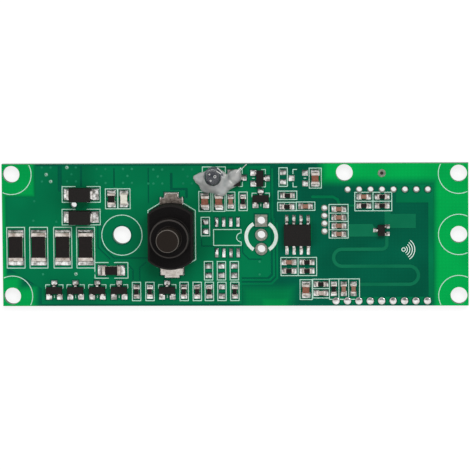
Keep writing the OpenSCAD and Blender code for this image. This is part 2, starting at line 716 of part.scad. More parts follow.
// A concave fillet of solder from the end cap down to the end of the pad
module chip_fillets(size) {
    leg = min(size[4] - 0.05, size[2] * 0.8);
    for (s = [0, 180])
        rotate(s)
            translate([size[0] / 2, size[1] / 2, seat])
                rotate([90, 0, 0])
                    linear_extrude(size[1])
                        difference() {
                            square(leg);
                            translate([leg, leg]) circle(r = leg * 0.92, $fn = 40);
                        }
}

module chip_solder() color("#d9dcde") {
    at(power_chip_at) chip_fillets(POWER);
    at(medium_at) chip_fillets(MEDIUM);
    at(res8_at) chip_fillets(RES8);
    at(led_at) chip_fillets(RES8);
    at(cap8_at) chip_fillets(CAP8);
    at(concat(res6_at, cap6_at, pale_at)) chip_fillets(CHIP6);
}

module power_resistor_cores() color("#e8e4da") at(power_chip_at) chip_core(POWER);
module power_resistor_coats() color("#161616") at(power_chip_at) chip_coat(POWER);
module power_resistor_ends() color("#d4d6d8") at(power_chip_at) chip_ends(POWER);

module medium_resistor_cores() color("#e8e4da") {
    at(medium_at) chip_core(MEDIUM);
    at(res8_at) chip_core(RES8);
}
module medium_resistor_coats() color("#1c1a19") {
    at(medium_at) chip_coat(MEDIUM);
    at(res8_at) chip_coat(RES8);
}
module medium_resistor_ends() color("#d4d6d8") {
    at(medium_at) chip_ends(MEDIUM);
    at(res8_at) chip_ends(RES8);
}

module small_resistor_cores() color("#e8e4da") at(res6_at) chip_core(CHIP6);
module small_resistor_coats() color("#262220") at(res6_at) chip_coat(CHIP6);
module small_resistor_ends() color("#d4d6d8") at(res6_at) chip_ends(CHIP6);

module large_capacitor_bodies() color("#96553c") at(cap8_at) chip_core(CAP8);
module large_capacitor_ends() color("#d4d6d8") at(cap8_at) chip_ends(CAP8);
module small_capacitor_bodies() color("#966e64") at(cap6_at) chip_core(CHIP6);
module small_capacitor_ends() color("#d4d6d8") at(cap6_at) chip_ends(CHIP6);
module pale_chip_body() color("#c9c4bd") at(pale_at) chip_core(CHIP6);
module pale_chip_ends() color("#d4d6d8") at(pale_at) chip_ends(CHIP6);

led_base_t = 0.3;
module status_led_base() color("#d8d4c4") at(led_at)
    translate([0, 0, seat + plate_t])
        translate([-chip8_l / 2 + plate_t, -chip8_w / 2 + plate_t, 0])
            cube([chip8_l - 2 * plate_t, chip8_w - 2 * plate_t, led_base_t]);

module status_led_lens() color("#e1dccd") at(led_at)
    translate([0, 0, seat + 2 * plate_t + led_base_t])
        rotate([90, 0, 0])
            linear_extrude(chip8_w - 2 * plate_t, center = true)
                polygon([[-0.84, 0], [0.84, 0], [0.76, 0.4], [-0.76, 0.4]]);

module status_led_ends() color("#d4d6d8") at(led_at) difference() {
    for (s = [-1, 1])
        translate([s * (chip8_l / 2 - 0.16), 0, seat + led_base_t / 2 + plate_t])
            cube([0.32, chip8_w, led_base_t + 2 * plate_t], center = true);
    translate([-chip8_l / 2 + plate_t, -chip8_w / 2 + plate_t, seat + plate_t])
        cube([chip8_l - 2 * plate_t, chip8_w - 2 * plate_t, led_base_t]);
}

// A moulded body: sides lean in above and below a straight band that the leads leave from
module moulded_side(w, h, band_z, band, length) {
    low = w / 2 - draft * band_z;
    high = w / 2 - draft * (h - band_z - band);
    rotate([90, 0, 0])
        linear_extrude(length, center = true)
            polygon([[-low, 0], [low, 0], [w / 2, band_z], [w / 2, band_z + band], [high, h],
                [-high, h], [-w / 2, band_z + band], [-w / 2, band_z]]);
}

module moulded_body(size, band) {
    h = size[2] - size[3];
    band_z = (h - band) / 2;
    translate([0, 0, seat + size[3]]) intersection() {
        moulded_side(size[0], h, band_z, band, size[1] + cut);
        rotate(90) moulded_side(size[1], h, band_z, band, size[0] + cut);
    }
}

// A strip of sheet metal that follows the points in the upright plane, out along +X
module bent_strip(points, t, w)
    translate([0, w / 2, 0])
        rotate([90, 0, 0])
            linear_extrude(w) {
                for (i = [1 : len(points) - 2])
                    translate(points[i]) circle(d = t, $fn = 24);
                for (i = [0 : len(points) - 2]) {
                    run = points[i + 1] - points[i];
                    translate(points[i])
                        rotate(atan2(run.y, run.x))
                            translate([0, -t / 2])
                                square([norm(run), t]);
                }
            }

diode_lead_t = 0.2;
diode_lead_w = 1.45;
module j_lead() {
    mid = seat + diode_h / 2 + 0.1;
    foot = seat + diode_lead_t / 2;
    out = diode_l / 2 + 0.32;
    bent_strip([[diode_l / 2, mid], [out, mid], [out + 0.06, foot], [diode_l / 2 - 1, foot]],
        diode_lead_t, diode_lead_w);
}

// A gull-wing lead: out of the body, down, and along the pad
module gull_lead(size, span, foot, w) {
    mid = seat + size[3] + (size[2] - size[3]) / 2;
    low = seat + lead_t / 2;
    knee = size[1] / 2 + 0.22;
    ankle = max(span / 2 - foot, knee + 0.1);
    bent_strip([[size[1] / 2, mid], [knee, mid], [ankle, low], [span / 2, low]], lead_t, w);
}

module three_leads(size, across, span, foot, w)
    for (p = [[0, 90], [-across, -90], [across, -90]])
        translate([p.x, 0, 0]) rotate(p.y) gull_lead(size, span, foot, w);

module diode_bodies() color("#141a17") at(diode_body_at) moulded_body(DIODE, diode_lead_t);
module diode_leads() color("#cfd3d5") at(diode_body_at) for (a = [0, 180]) rotate(a) j_lead();
module transistor_bodies() color("#171515") at(sot_at) moulded_body(SOT, lead_t);
module transistor_leads() color("#cfd3d5") at(sot_at)
    three_leads(SOT, sot_across, sot_w + 1.2, lead_w, lead_w);
module radar_transistor_body() color("#171413") at(radar_at) moulded_body(RADAR, lead_t);
module radar_transistor_leads() color("#cfd3d5") at(radar_at)
    three_leads(RADAR, radar_across, 2.1, 0.3, 0.32);

module controller_body() color("#262423") at(sop_at) difference() {
    moulded_body(SOP, lead_t);
    translate([sop_l / 2 - 0.75, -sop_w / 2 + 0.8, seat + sop_h - 0.08])
        cylinder(d = 0.7, h = 0.2, $fn = 32);
}

module controller_leads() color("#cfd3d5") at(sop_at)
    for (i = [0 : 3], a = [90, -90])
        translate([(i - 1.5) * sop_pitch, 0, 0])
            rotate(a) gull_lead(SOP, sop_span, sop_foot, lead_w);

// Header holes filled with solder, slightly domed, and the sensor legs soldered in
module hole_solder() color("#dde0e2") {
    for (p = header_low_at) translate([p.x, p.y, 0]) {
        cylinder(d = header_d, h = seat, $fn = 32);
        translate([0, 0, seat]) solder_dome(header_pad / 2, 0.22);
    }
    for (p = leg_at) translate([p.x, p.y, 0]) difference() {
        cylinder(d = leg_d, h = seat, $fn = 32);
        translate([-leg_w / 2, -leg_w / 2, -cut]) cube([leg_w, leg_w, seat + 2 * cut]);
    }
}

// A low cap of a sphere, of radius r at its foot and height h
module solder_dome(r, h) {
    ball = (r * r + h * h) / (2 * h);
    intersection() {
        translate([0, 0, h - ball]) sphere(r = ball, $fn = 64);
        cylinder(r = r, h = h, $fn = 32);
    }
}

// Light sensor: a clear lens on two legs, with the cup and the chip inside it
leg_w = 0.45;
lens_z = seat + 0.35;
flange_t2 = 0.9;
cup_z = lens_z + 1.6;
post_x = 0.8;              // posts inside the lens, nearer together than the legs
knee_z = lens_z + 0.25;
module frame_side(top) {
    out = leg_pitch / 2 + leg_w / 2;
    rotate([90, 0, 0])
        linear_extrude(leg_w, center = true)
            polygon([[out - leg_w, 0], [out, 0], [out, knee_z + leg_w], [post_x + leg_w / 2, knee_z + leg_w],
                [post_x + leg_w / 2, top], [post_x - leg_w / 2, top], [post_x - leg_w / 2, knee_z],
                [out - leg_w, knee_z]]);
}

module light_sensor_frame() color("#b9bcc0") translate([sensor_x, sensor_y, 0]) {
    frame_side(cup_z + 0.4);
    rotate(180) frame_side(cup_z + cut);
    difference() {
        translate([-post_x - leg_w / 2, -0.5, cup_z]) cube([1.5, 1, 0.4]);
        translate([cup_x, 0, cup_z + 0.15]) cylinder(d = 0.8, h = 0.4, $fn = 32);
    }
}

cup_x = 0.55 - post_x;
module light_sensor_chip() color("#23264a") translate([sensor_x + cup_x, sensor_y, cup_z + 0.15])
    translate([-0.22, -0.22, 0]) cube([0.44, 0.44, 0.2]);

module lens_form() translate([sensor_x, sensor_y, lens_z])
    rotate_extrude($fn = 72)
        union() {
            square([flange_d / 2, flange_t2]);
            square([lens_d / 2, lens_h - lens_d / 2]);
            intersection() {
                translate([0, lens_h - lens_d / 2]) circle(d = lens_d, $fn = 72);
                square([lens_d, lens_h]);
            }
        }

module light_sensor_lens() color("#9aa0a8", 0.6) difference() {
    lens_form();
    light_sensor_frame();
    light_sensor_chip();
}

// The drop of hot glue that holds the sensor, cut back from all that it flows round
glue_z = seat + ink_t;
glue_play = 0.02;
glue_size = flange_d / 3.5;   // the drop grows with the sensor
module glue_ball(x, y, r, flat)
    translate([sensor_x + x * glue_size, sensor_y + y * glue_size, glue_z])
        scale([1, 1, flat]) sphere(r = r * glue_size, $fn = 20);

module chip_room(p, size) translate([p.x, p.y, seat]) rotate(p[2])
    translate([-size[0] / 2 - size[4], -size[1] / 2 - glue_play, -cut])
        cube([size[0] + 2 * size[4], size[1] + 2 * glue_play, size[2] + cut + glue_play]);

module glue_drop() color("#b4b4b0", 0.9) difference() {
    union() {
        hull() {
            glue_ball(0.1, -0.8, 2.4, 0.7);
            glue_ball(-3.3, -0.1, 0.5, 0.6);
            glue_ball(-1.4, -1.8, 1.3, 0.6);
            glue_ball(1, -2.2, 1, 0.6);
        }
        hull() {
            glue_ball(0.6, -0.6, 2.1, 0.75);
            glue_ball(4, 0, 1.45, 1.3);
            glue_ball(4.4, 0.7, 0.8, 1.2);
        }
    }
    translate([sensor_x - 10, sensor_y - 10, glue_z - 10]) cube([20, 20, 10]);
    lens_room();
    glued = sot_at[5];
    translate([glued.x, glued.y, seat - cut]) rotate(glued[2]) {
        translate([-sot_l / 2 - glue_play, -sot_w / 2 - glue_play, 0])
            cube([sot_l + 2 * glue_play, sot_w + 2 * glue_play, sot_h + cut + glue_play]);
        for (p = [[0, 1], [-sot_across, -1], [sot_across, -1]])
            translate([p.x - 0.25, p.y > 0 ? sot_w / 2 : -1.3, 0])
                cube([0.5, 1.3 - sot_w / 2, sot_h / 2 + 0.25]);
    }
    for (i = [0, 1]) chip_room(cap8_at[i], CAP8);
    chip_room(cap6_at[0], CHIP6);
    chip_room(res6_at[6], CHIP6);
}

module lens_room() translate([sensor_x, sensor_y, glue_z - cut]) {
    cylinder(d = flange_d + 2 * glue_play, h = lens_z + flange_t2 + glue_play - glue_z + cut, $fn = 72);
    cylinder(d = lens_d + 2 * glue_play, h = lens_h + 2, $fn = 72);
}

// Push switch. Heights are from the front face of the board.
module switch_outline_2d(shrink = 0) intersection() {
    circle(d = sw_d - 2 * shrink, $fn = 120);
    square([sw_flats - 2 * shrink, sw_d], center = true);
}

module switch_terminals() color("#c3b9a8") translate([sw_x, 0, face])
    for (a = [90, -90])
        rotate(a) {
            low = foil_t + term_t / 2;
            high = floor_z - term_t / 2;
            bend_y = sw_d / 2 - 1.8;
            near = sw_d / 2 - 0.8;
            wide = tab_neck_y - tab_round;
            bent_strip([[tab_in, high], [bend_y, high], [bend_y + 0.5, low], [near + 0.5, low]],
                term_t, term_w - 1);
            translate([0, 0, foil_t]) linear_extrude(term_t) polygon([
                [near, -term_w / 2], [wide, -term_w / 2], [tab_neck_y, -tab_neck / 2],
                [tab_out, -tab_neck / 2], [tab_out, tab_neck / 2], [tab_neck_y, tab_neck / 2],
                [wide, term_w / 2], [near, term_w / 2]]);
        }

module switch_base() color("#191818") difference() {
    translate([sw_x, 0, face]) {
        difference() {
            translate([0, 0, foil_t]) linear_extrude(wall_z - foil_t) switch_outline_2d();
            translate([0, 0, floor_z]) linear_extrude(wall_z) switch_outline_2d(wall_t);
        }
        translate([0, 0, floor_z - cut]) cylinder(d = 1, h = bridge_t + 0.5 + cut, $fn = 32);
    }
    switch_terminals();
}

module switch_cover() color("#1b1a19") translate([sw_x, 0, face]) {
    bevel = 0.35;
    difference() {
        union() {
            intersection() {
                rotate_extrude($fn = 120) polygon([[0, wall_z], [sw_d / 2, wall_z],
                    [sw_d / 2, sw_h - bevel], [sw_d / 2 - bevel, sw_h], [0, sw_h]]);
                rotate([90, 0, 0]) linear_extrude(sw_d + cut, center = true)
                    polygon([[-sw_flats / 2, wall_z], [sw_flats / 2, wall_z],
                        [sw_flats / 2, sw_h - bevel], [sw_flats / 2 - bevel, sw_h],
                        [bevel - sw_flats / 2, sw_h], [-sw_flats / 2, sw_h - bevel]]);
            }
            rotate_extrude($fn = 96) polygon([[0, sw_h - cut], [collar_d / 2 + 0.1, sw_h - cut],
                [collar_d / 2 + 0.1, sw_h], [collar_d / 2, sw_h + 0.1], [collar_d / 2, collar_h - 0.25],
                [collar_d / 2 - 0.25, collar_h], [0, collar_h]]);
        }
        translate([0, 0, wall_z - cut]) linear_extrude(roof_z - wall_z + cut) switch_outline_2d(wall_t);
        translate([0, 0, roof_z - cut]) cylinder(d = plunger_d + 2 * run_gap, h = collar_h, $fn = 72);
        translate([0, 0, collar_h - 0.2])
            cylinder(d1 = plunger_d + 2 * run_gap, d2 = plunger_d + 2 * run_gap + 0.6, h = 0.3, $fn = 72);
    }
}

module switch_plunger() color("#2d2622") translate([sw_x, 0, face])
    rotate_extrude($fn = 96) difference() {
        union() {
            polygon([[0, flange_z], [plunger_d / 2 + 0.65, flange_z],
                [plunger_d / 2 + 0.65, flange_z + flange_t], [plunger_d / 2, flange_z + flange_t],
                [plunger_d / 2, plunger_h - 0.3], [0, plunger_h - 0.3]]);
            translate([0, plunger_h - 0.3]) square([plunger_d / 2 - 0.3, 0.3]);
            intersection() {
                translate([plunger_d / 2 - 0.3, plunger_h - 0.3]) circle(r = 0.3, $fn = 40);
                translate([plunger_d / 2 - 0.3, plunger_h - 0.3]) square(0.4);
            }
        }
        translate([0, flange_z - cut]) square([well_d / 2, well_z - flange_z + cut]);
    }

module switch_bridge() color("#c79a4e") translate([sw_x, 0, face + floor_z])
    linear_extrude(bridge_t) difference() {
        union() {
            circle(d = 2.9, $fn = 48);
            square([1.2, 5], center = true);
        }
        circle(d = 1.1, $fn = 32);
    }

// The return spring, swept round its axis with eight sides
spring_turns = 7;
spring_rings = 84;
function spring_ring(k) =
    let (low = face + floor_z + bridge_t + spring_wire / 2 + 0.02,
         high = face + well_z - spring_wire / 2 - 0.02,
         a = 360 * spring_turns * k / spring_rings,
         r = (spring_od - spring_wire) / 2,
         z = low + (high - low) * k / spring_rings)
    [for (j = [0 : 7])
        let (b = 45 * j, d = r + spring_wire / 2 * cos(b))
        [sw_x + d * cos(a), d * sin(a), z + spring_wire / 2 * sin(b)]];

module switch_spring() color("#b9bcbf") {
    points = [for (k = [0 : spring_rings]) each spring_ring(k)];
    sides = [for (k = [0 : spring_rings - 1], j = [0 : 7])
        let (a = 8 * k + j, b = 8 * k + (j + 1) % 8)
        [a, a + 8, b + 8, b]];
    polyhedron(points, concat([[0, 1, 2, 3, 4, 5, 6, 7]], sides,
        [[for (j = [7 : -1 : 0]) 8 * spring_rings + j]]));
}

// Solder that bridges the terminal tips and their pads, and fills the lower shoulders
module tab_solder() color("#d9dcde") translate([sw_x, 0, face + foil_t]) {
    for (s = [-1, 1])
        translate([0, -tab_neck_y, 0])
            rotate([90, 0, 0])
                linear_extrude(solder_reach - 0.05)
                    polygon([[s * tab_neck / 2, 0], [s * (term_w / 2 + 0.02), 0],
                        [s * (term_w / 2 - 0.1), term_t * 0.9], [s * tab_neck / 2, term_t]]);
    for (s = [-1, 1])
        translate([0, s * tab_out, 0])
            rotate([90, 0, s > 0 ? 90 : -90])
                linear_extrude(tab_neck, center = true)
                    polygon([[0, 0], [0.09, 0], [0.04, term_t * 0.8], [0, term_t * 0.8]]);
}

bare_board();
ground_plane();
front_copper();
aerial_strip();
solder_pads();
wire_pads();
hole_liners();
plugged_vias();
open_vias();
printed_legend();
chip_solder();
hole_solder();
tab_solder();
power_resistor_cores();
power_resistor_coats();
power_resistor_ends();
medium_resistor_cores();
medium_resistor_coats();
medium_resistor_ends();
small_resistor_cores();
small_resistor_coats();
small_resistor_ends();
large_capacitor_bodies();
large_capacitor_ends();
small_capacitor_bodies();
small_capacitor_ends();
pale_chip_body();
pale_chip_ends();
status_led_base();
status_led_lens();
status_led_ends();
diode_bodies();
diode_leads();
transistor_bodies();
transistor_leads();
radar_transistor_body();
radar_transistor_leads();
controller_body();
controller_leads();
light_sensor_lens();
light_sensor_frame();
light_sensor_chip();
glue_drop();
switch_base();
switch_cover();
switch_plunger();
switch_spring();
switch_bridge();
switch_terminals();
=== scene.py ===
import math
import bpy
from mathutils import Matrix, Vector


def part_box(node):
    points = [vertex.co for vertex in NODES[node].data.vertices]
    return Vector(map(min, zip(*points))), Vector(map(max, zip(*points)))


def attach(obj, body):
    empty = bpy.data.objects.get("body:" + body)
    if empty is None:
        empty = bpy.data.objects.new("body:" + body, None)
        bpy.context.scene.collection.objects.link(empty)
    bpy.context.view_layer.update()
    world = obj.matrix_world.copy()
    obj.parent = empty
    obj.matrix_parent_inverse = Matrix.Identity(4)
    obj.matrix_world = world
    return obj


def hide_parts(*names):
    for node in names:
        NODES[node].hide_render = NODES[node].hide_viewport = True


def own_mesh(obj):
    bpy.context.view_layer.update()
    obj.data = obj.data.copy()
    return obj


bl_info = {
    "name": "Radar Board Dresser",
    "version": (1, 0, 0),
    "blender": (4, 5, 0),
    "location": "3D View > Sidebar > Radar Board",
    "description": "Gives a packed radar sensor board its materials, small details and a studio",
    "category": "Object",
}

import bpy
from bpy.props import FloatProperty, FloatVectorProperty, IntProperty, PointerProperty
from mathutils import Matrix, Vector

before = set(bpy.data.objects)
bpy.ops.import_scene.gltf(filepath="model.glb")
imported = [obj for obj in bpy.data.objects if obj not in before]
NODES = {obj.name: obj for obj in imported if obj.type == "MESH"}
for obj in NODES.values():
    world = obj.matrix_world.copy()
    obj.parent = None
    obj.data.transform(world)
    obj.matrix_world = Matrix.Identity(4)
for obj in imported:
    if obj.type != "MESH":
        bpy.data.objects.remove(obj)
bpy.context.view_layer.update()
MM = 0.001
BOARD_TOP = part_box("bare_board")[1].z
PAD_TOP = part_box("solder_pads")[1].z
INK_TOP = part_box("printed_legend")[1].z
# The plate of the switch's tabs.
TAB_TOP = BOARD_TOP + 0.35 * MM
# The body that the added pieces are attached to.
BODY = "board"
# Corners of a mesh that are closer than this are one.
WELD = 1e-7

# Where the laminate has copper on neither face: x and y limits in millimetres, the softness
# of the zone's edge, because light bleeds sideways in the glass cloth, and the zone's strength.
CLEAR_ZONES = (
    (35.6, 45, -15, 15, 0.9, 1.0),
    (15.6, 45, 9.5, 15, 1.3, 1.0),
    (-45, -35.7, 7.0, 15, 0.55, 0.8),
    (-45, -40.9, -15, 15, 0.4, 0.8),
    (-45, -38.4, -15, -7.4, 1.0, 0.8),
    (-45, -35.6, -15, -9.4, 1.0, 0.8),
    (1.4, 10.4, -15, -9.4, 1.3, 0.3),
    (4.6, 9.6, -15, -11.2, 1.0, 0.55),
)
# The wave sign's middle, its stroke and the radius of its ring, in mm, the arcs' sweep in degrees,
# how thick the ink is and how far its middle stands over the board, in mm, and how far apart, in
# metres, the two ends of the ring may be to be closed.
SIGN_AT = (30.0, -2.67)
SIGN_STROKE = 0.14
SIGN_RING = 0.3
SIGN_SWEEP = 112
SIGN_INK = 0.02
SIGN_LIFT = 0.012
SIGN_WELD = 1e-6
# Where the ink lies thick: x and y of the middle and the radius, in mm.
DENSE_INK = ((4.73, 0.0, 3.25), (*SIGN_AT, 3.0))
# The steps in which a pad's tin rises: the width of each in mm and its share of the height.
TIN_STEPS = ((0.08, 0.5), (0.08, 0.33), (0.08, 0.17))
# Beads of solder on the switch's two tabs: the first two cover the lower tab, the rest are pale
# beads on the upper tab's tip and edges that stand for painted highlights. x and y of the middle,
# width, length and height, in mm.
TAB_SOLDER_AND_HIGHLIGHT_BEADS = (
    (-11.2, -6.5, 3.95, 1.3, 0.3),
    (-11.2, -7.3, 2.5, 0.55, 0.24),
    (-11.2, 7.42, 2.3, 0.22, 0.2),
    (-12.25, 7.3, 0.26, 0.5, 0.26),
    (-10.05, 7.15, 0.3, 0.6, 0.3),
    (-9.25, 6.15, 0.2, 1.5, 0.26),
    (-13.12, 6.6, 0.2, 0.5, 0.16),
)
# The drop of glue as flattened balls: x, y and z of the middle and the three radii, in mm.
GLUE_BALLS = (
    (-3.5, 9.75, 1.7, 2.55, 2.2, 1.75),
    (-5.3, 10.0, 1.65, 1.9, 1.35, 0.9),
    (-6.4, 10.25, 1.65, 1.05, 0.65, 0.6),
    (-4.9, 8.75, 1.65, 1.35, 1.3, 0.8),
    (-3.2, 8.5, 1.65, 1.7, 1.25, 0.9),
    (-2.0, 8.9, 1.65, 1.7, 1.4, 1.0),
    (-0.9, 9.5, 1.8, 1.7, 1.3, 1.4),
    (0.1, 10.4, 2.1, 1.35, 1.3, 1.5),
    (0.45, 11.0, 2.3, 0.95, 0.85, 1.25),
    (0.75, 11.35, 2.5, 0.5, 0.5, 1.0),
    (-2.35, 7.95, 2.0, 1.25, 1.1, 1.2),
)
# The net that joins the balls: its mesh size in mm, and how often it is smoothed.
GLUE_NET = 0.12
GLUE_SMOOTHING = 40
# The glue's thread, then three near-white streaks over the glue that stand for painted highlights
# on the film's edges: thickness, then each end with its two handles, in mm.
GLUE_THREAD_AND_HIGHLIGHTS = (
    (
        0.11,
        (0.95, 11.25, 3.1), (0.7, 10.9, 3.3), (1.25, 11.7, 2.8),
        (2.25, 12.62, 1.76), (1.8, 12.25, 2.0), (2.45, 12.8, 1.7),
    ),
    (
        0.2,
        (-2.85, 12.12, 4.0), (-3.1, 12.3, 3.9), (-2.6, 12.0, 4.05),
        (-1.98, 11.25, 4.0), (-2.15, 11.6, 4.05), (-1.9, 11.0, 3.9),
    ),
    (
        0.18,
        (-2.85, 11.7, 5.7), (-3.05, 11.8, 5.7), (-2.6, 11.55, 5.62),
        (-2.12, 11.2, 5.25), (-2.3, 11.35, 5.45), (-2.0, 11.1, 5.1),
    ),
    (
        0.24,
        (0.5, 11.28, 3.42), (0.4, 11.2, 3.4), (0.7, 11.45, 3.3),
        (1.25, 12.0, 2.55), (1.0, 11.75, 2.9), (1.35, 12.1, 2.45),
    ),
)
# Rims of burst bubbles on the lens: x and y of the middle, radius and thickness, in mm. A rim is
# as flat as the last value says.
BUBBLES = (
    (-3.13, 10.8, 0.2, 0.05),
    (-4.1, 11.2, 0.1, 0.045),
    (-3.88, 10.07, 0.12, 0.05),
)
BUBBLE_FLATNESS = 0.7
# The plug of the test hole: its middle, radius and length, and the steps in which its top sinks,
# each with its width and depth, in mm.
PLUG_AT = (26.2, 10.95, 0.78)
PLUG_RADIUS = 0.32
PLUG_LENGTH = 1.4
PLUG_STEPS = ((0.08, 0.08), (0.08, 0.05), (0.07, 0.02))
# What the lamps and the backdrop give: the floor's own grey and glow, and the world's light.
FLOOR_GREY = 0.28
FLOOR_GLOW = 0.8
WORLD_LIGHT = 0.5
# The floor lies this far under the board, in mm.
FLOOR_GAP = 0.03
# The lamps: place and size in metres, power in watts, and whether it shows in glossy surfaces. Two
# soft boxes, the main one beyond the top edge and a weaker one at the left, and a small lamp at the
# upper right, the only one that shines in rounded edges.
LAMPS = (
    ("main_box", (0.18, 0.42, 0.62), (0.5, 0.3), 2.6, False),
    ("side_box", (-0.5, -0.1, 0.5), (0.3, 0.5), 0.9, False),
    ("edge_lamp", (0.5, 0.4, 0.32), (0.16, 0.16), 0.35, True),
)
# What metal sees round the board, each an axis, the two heights or places between which it changes
# and the brightness at both: the ceiling over the floor, the band beyond the top edge, the walls.
REFLECTED_WALLS = (
    ("Z", 0.05, 0.6, 0.5, 1.0),
    ("Y", 0.42, -0.04, 0.16, 1.0),
    ("Z", 0.72, 0.45, 0.0, 0.9),
)
# The camera: its turns about x, y and z in degrees, its distance in metres, the point it aims at in
# mm, its sensor in mm, and the picture's width and scale in pixels.
CAMERA_TURNS = (5.99, -3.43, 0.48)
CAMERA_DISTANCE = 0.8
CAMERA_AIM = (0.034, 0.19)
SENSOR = 36
PICTURE_WIDTH = 470
PIXELS_PER_MM = 5.6142


def linear(value):
    """An sRGB hex colour as linear red, green, blue and alpha."""
    channels = [int(value[i : i + 2], 16) / 255 for i in (1, 3, 5)]
    return [c / 12.92 if c <= 0.04045 else ((c + 0.055) / 1.055) ** 2.4 for c in channels] + [1.0]


def add(tree, kind, inputs=None, stops=(), **settings):
    """Adds a node. An input is a value, a hex colour, or a (node, output) pair that is linked to
    it. The stops are (position, hex colour) pairs of a ramp."""
    node = tree.nodes.new(kind)
    for name, value in settings.items():
        setattr(node, name, value)
    for name, value in (inputs or {}).items():
        if isinstance(value, tuple) and isinstance(value[0], bpy.types.Node):
            tree.links.new(value[0].outputs[value[1]], node.inputs[name])
        else:
            node.inputs[name].default_value = linear(value) if isinstance(value, str) else value
    for element, (position, colour) in zip(node.color_ramp.elements if stops else (), stops):
        element.position = position
        element.color = linear(colour)
    return node


def new_material(name, **sockets):
    """A material with one Principled shader whose sockets hold the constants."""
    material = bpy.data.materials.new(name)
    material.use_nodes = True
    tree = material.node_tree
    shader = tree.nodes["Principled BSDF"]
    for key, value in sockets.items():
        shader.inputs[key.replace("_", " ")].default_value = value
    return material, tree, shader


def millimetres(tree):
    """Where a point of the piece lies, counted in millimetres."""
    place = add(tree, "ShaderNodeTexCoord")
    return add(
        tree, "ShaderNodeMapping", {"Vector": (place, "Object"), "Scale": (1 / MM, 1 / MM, 1 / MM)}
    )


def mottle(tree, where, width_mm, low, high, spread=0.2, detail=2.0, rough=0.5):
    """A colour that drifts between two in patches about `width_mm` wide, the more abruptly the
    smaller the spread. Gives the pattern and the colour."""
    patches = add(
        tree,
        "ShaderNodeTexNoise",
        {"Vector": (where, "Vector"), "Scale": 1 / width_mm, "Detail": detail, "Roughness": rough},
    )
    colour = add(
        tree,
        "ShaderNodeValToRGB",
        {"Fac": (patches, "Fac")},
        stops=[(0.5 - spread, low), (0.5 + spread, high)],
    )
    return patches, colour


def relief(tree, shader, pattern, height_mm, round_mm=0.0, output="Fac"):
    """Lets a 0 to 1 pattern stand `height_mm` proud, over edges that look rounded."""
    inputs = {"Height": (pattern, output), "Distance": height_mm * MM}
    if round_mm:
        edge = add(tree, "ShaderNodeBevel", {"Radius": round_mm * MM}, samples=6)
        inputs["Normal"] = (edge, "Normal")
    raised = add(tree, "ShaderNodeBump", inputs)
    tree.links.new(raised.outputs["Normal"], shader.inputs["Normal"])


def coat(tree, shader, colour, output="Color"):
    """Gives the shader the colour of a node."""
    tree.links.new(colour.outputs[output], shader.inputs["Base Color"])


def clear_zones(tree, where):
    """1 where the laminate is clear of copper, 0 over the copper sheet on its back."""
    total = None
    for x0, x1, y0, y1, soft, strength in CLEAR_ZONES:
        centre = ((x0 + x1) / 2, (y0 + y1) / 2, 0)
        half = ((x1 - x0) / 2, (y1 - y0) / 2, 0)
        moved = add(
            tree, "ShaderNodeVectorMath", {0: (where, "Vector"), 1: centre}, operation="SUBTRACT"
        )
        size = add(tree, "ShaderNodeVectorMath", {0: (moved, "Vector")}, operation="ABSOLUTE")
        out = add(
            tree, "ShaderNodeVectorMath", {0: (size, "Vector"), 1: half}, operation="SUBTRACT"
        )
        axes = add(tree, "ShaderNodeSeparateXYZ", {0: (out, "Vector")})
        far = add(tree, "ShaderNodeMath", {0: (axes, "X"), 1: (axes, "Y")}, operation="MAXIMUM")
        zone = add(
            tree,
            "ShaderNodeMapRange",
            {"Value": (far, "Value"), "From Min": soft, "From Max": -soft, "To Max": strength},
            interpolation_type="SMOOTHSTEP",
        )
        if total is None:
            total = (zone, "Result")
        else:
            either = add(
                tree, "ShaderNodeMath", {0: total, 1: (zone, "Result")}, operation="MAXIMUM"
            )
            total = (either, "Value")
    return total


def glass_cloth(tree, where):
    """Plain weave of the glass cloth, 0.6 mm from thread to thread, faint under the mask."""
    across, along = (
        add(
            tree,
            "ShaderNodeTexWave",
            {"Vector": (where, "Vector"), "Scale": 0.52, "Distortion": 0.6},
            wave_type="BANDS",
            bands_direction=direction,
        )
        for direction in "XY"
    )
    return add(
        tree, "ShaderNodeMath", {0: (across, "Fac"), 1: (along, "Fac")}, operation="MULTIPLY"
    )


def laminate_material():
    """Glass-epoxy laminate under glossy green solder mask: it lets light through where there is
    no copper, looks deep teal over copper on its back, and dull dark green on its milled edges."""
    material, tree, shader = new_material(
        "masked_glass_epoxy", Roughness=0.3, Specular_IOR_Level=0.04
    )
    where = millimetres(tree)
    cloth = glass_cloth(tree, where)
    patches, deep = mottle(tree, where, 9, "#00523c", "#006046")
    bright = add(
        tree,
        "ShaderNodeValToRGB",
        {"Fac": (patches, "Fac")},
        stops=[(0.3, "#00a04a"), (0.7, "#00b050")],
    )
    clear = clear_zones(tree, where)
    face = add(
        tree,
        "ShaderNodeMix",
        {0: clear, 6: (deep, "Color"), 7: (bright, "Color")},
        data_type="RGBA",
    )
    shade = add(
        tree, "ShaderNodeMapRange", {"Value": (cloth, "Value"), "To Min": 0.97, "To Max": 1.05}
    )
    woven = add(tree, "ShaderNodeHueSaturation", {"Color": (face, 2), "Value": (shade, "Result")})
    turned = add(tree, "ShaderNodeNewGeometry")
    axes = add(tree, "ShaderNodeSeparateXYZ", {0: (turned, "Normal")})
    level = add(tree, "ShaderNodeMath", {0: (axes, "Z")}, operation="ABSOLUTE")
    flat = add(tree, "ShaderNodeMath", {0: (level, "Value"), 1: 0.5}, operation="GREATER_THAN")
    _, edge = mottle(tree, where, 0.35, "#0a4a2c", "#136238", detail=4)
    both = add(
        tree,
        "ShaderNodeMix",
        {0: (flat, "Value"), 6: (edge, "Color"), 7: (woven, "Color")},
        data_type="RGBA",
    )
    coat(tree, shader, both, 2)
    relief(tree, shader, cloth, 0.004, output="Value")
    return material


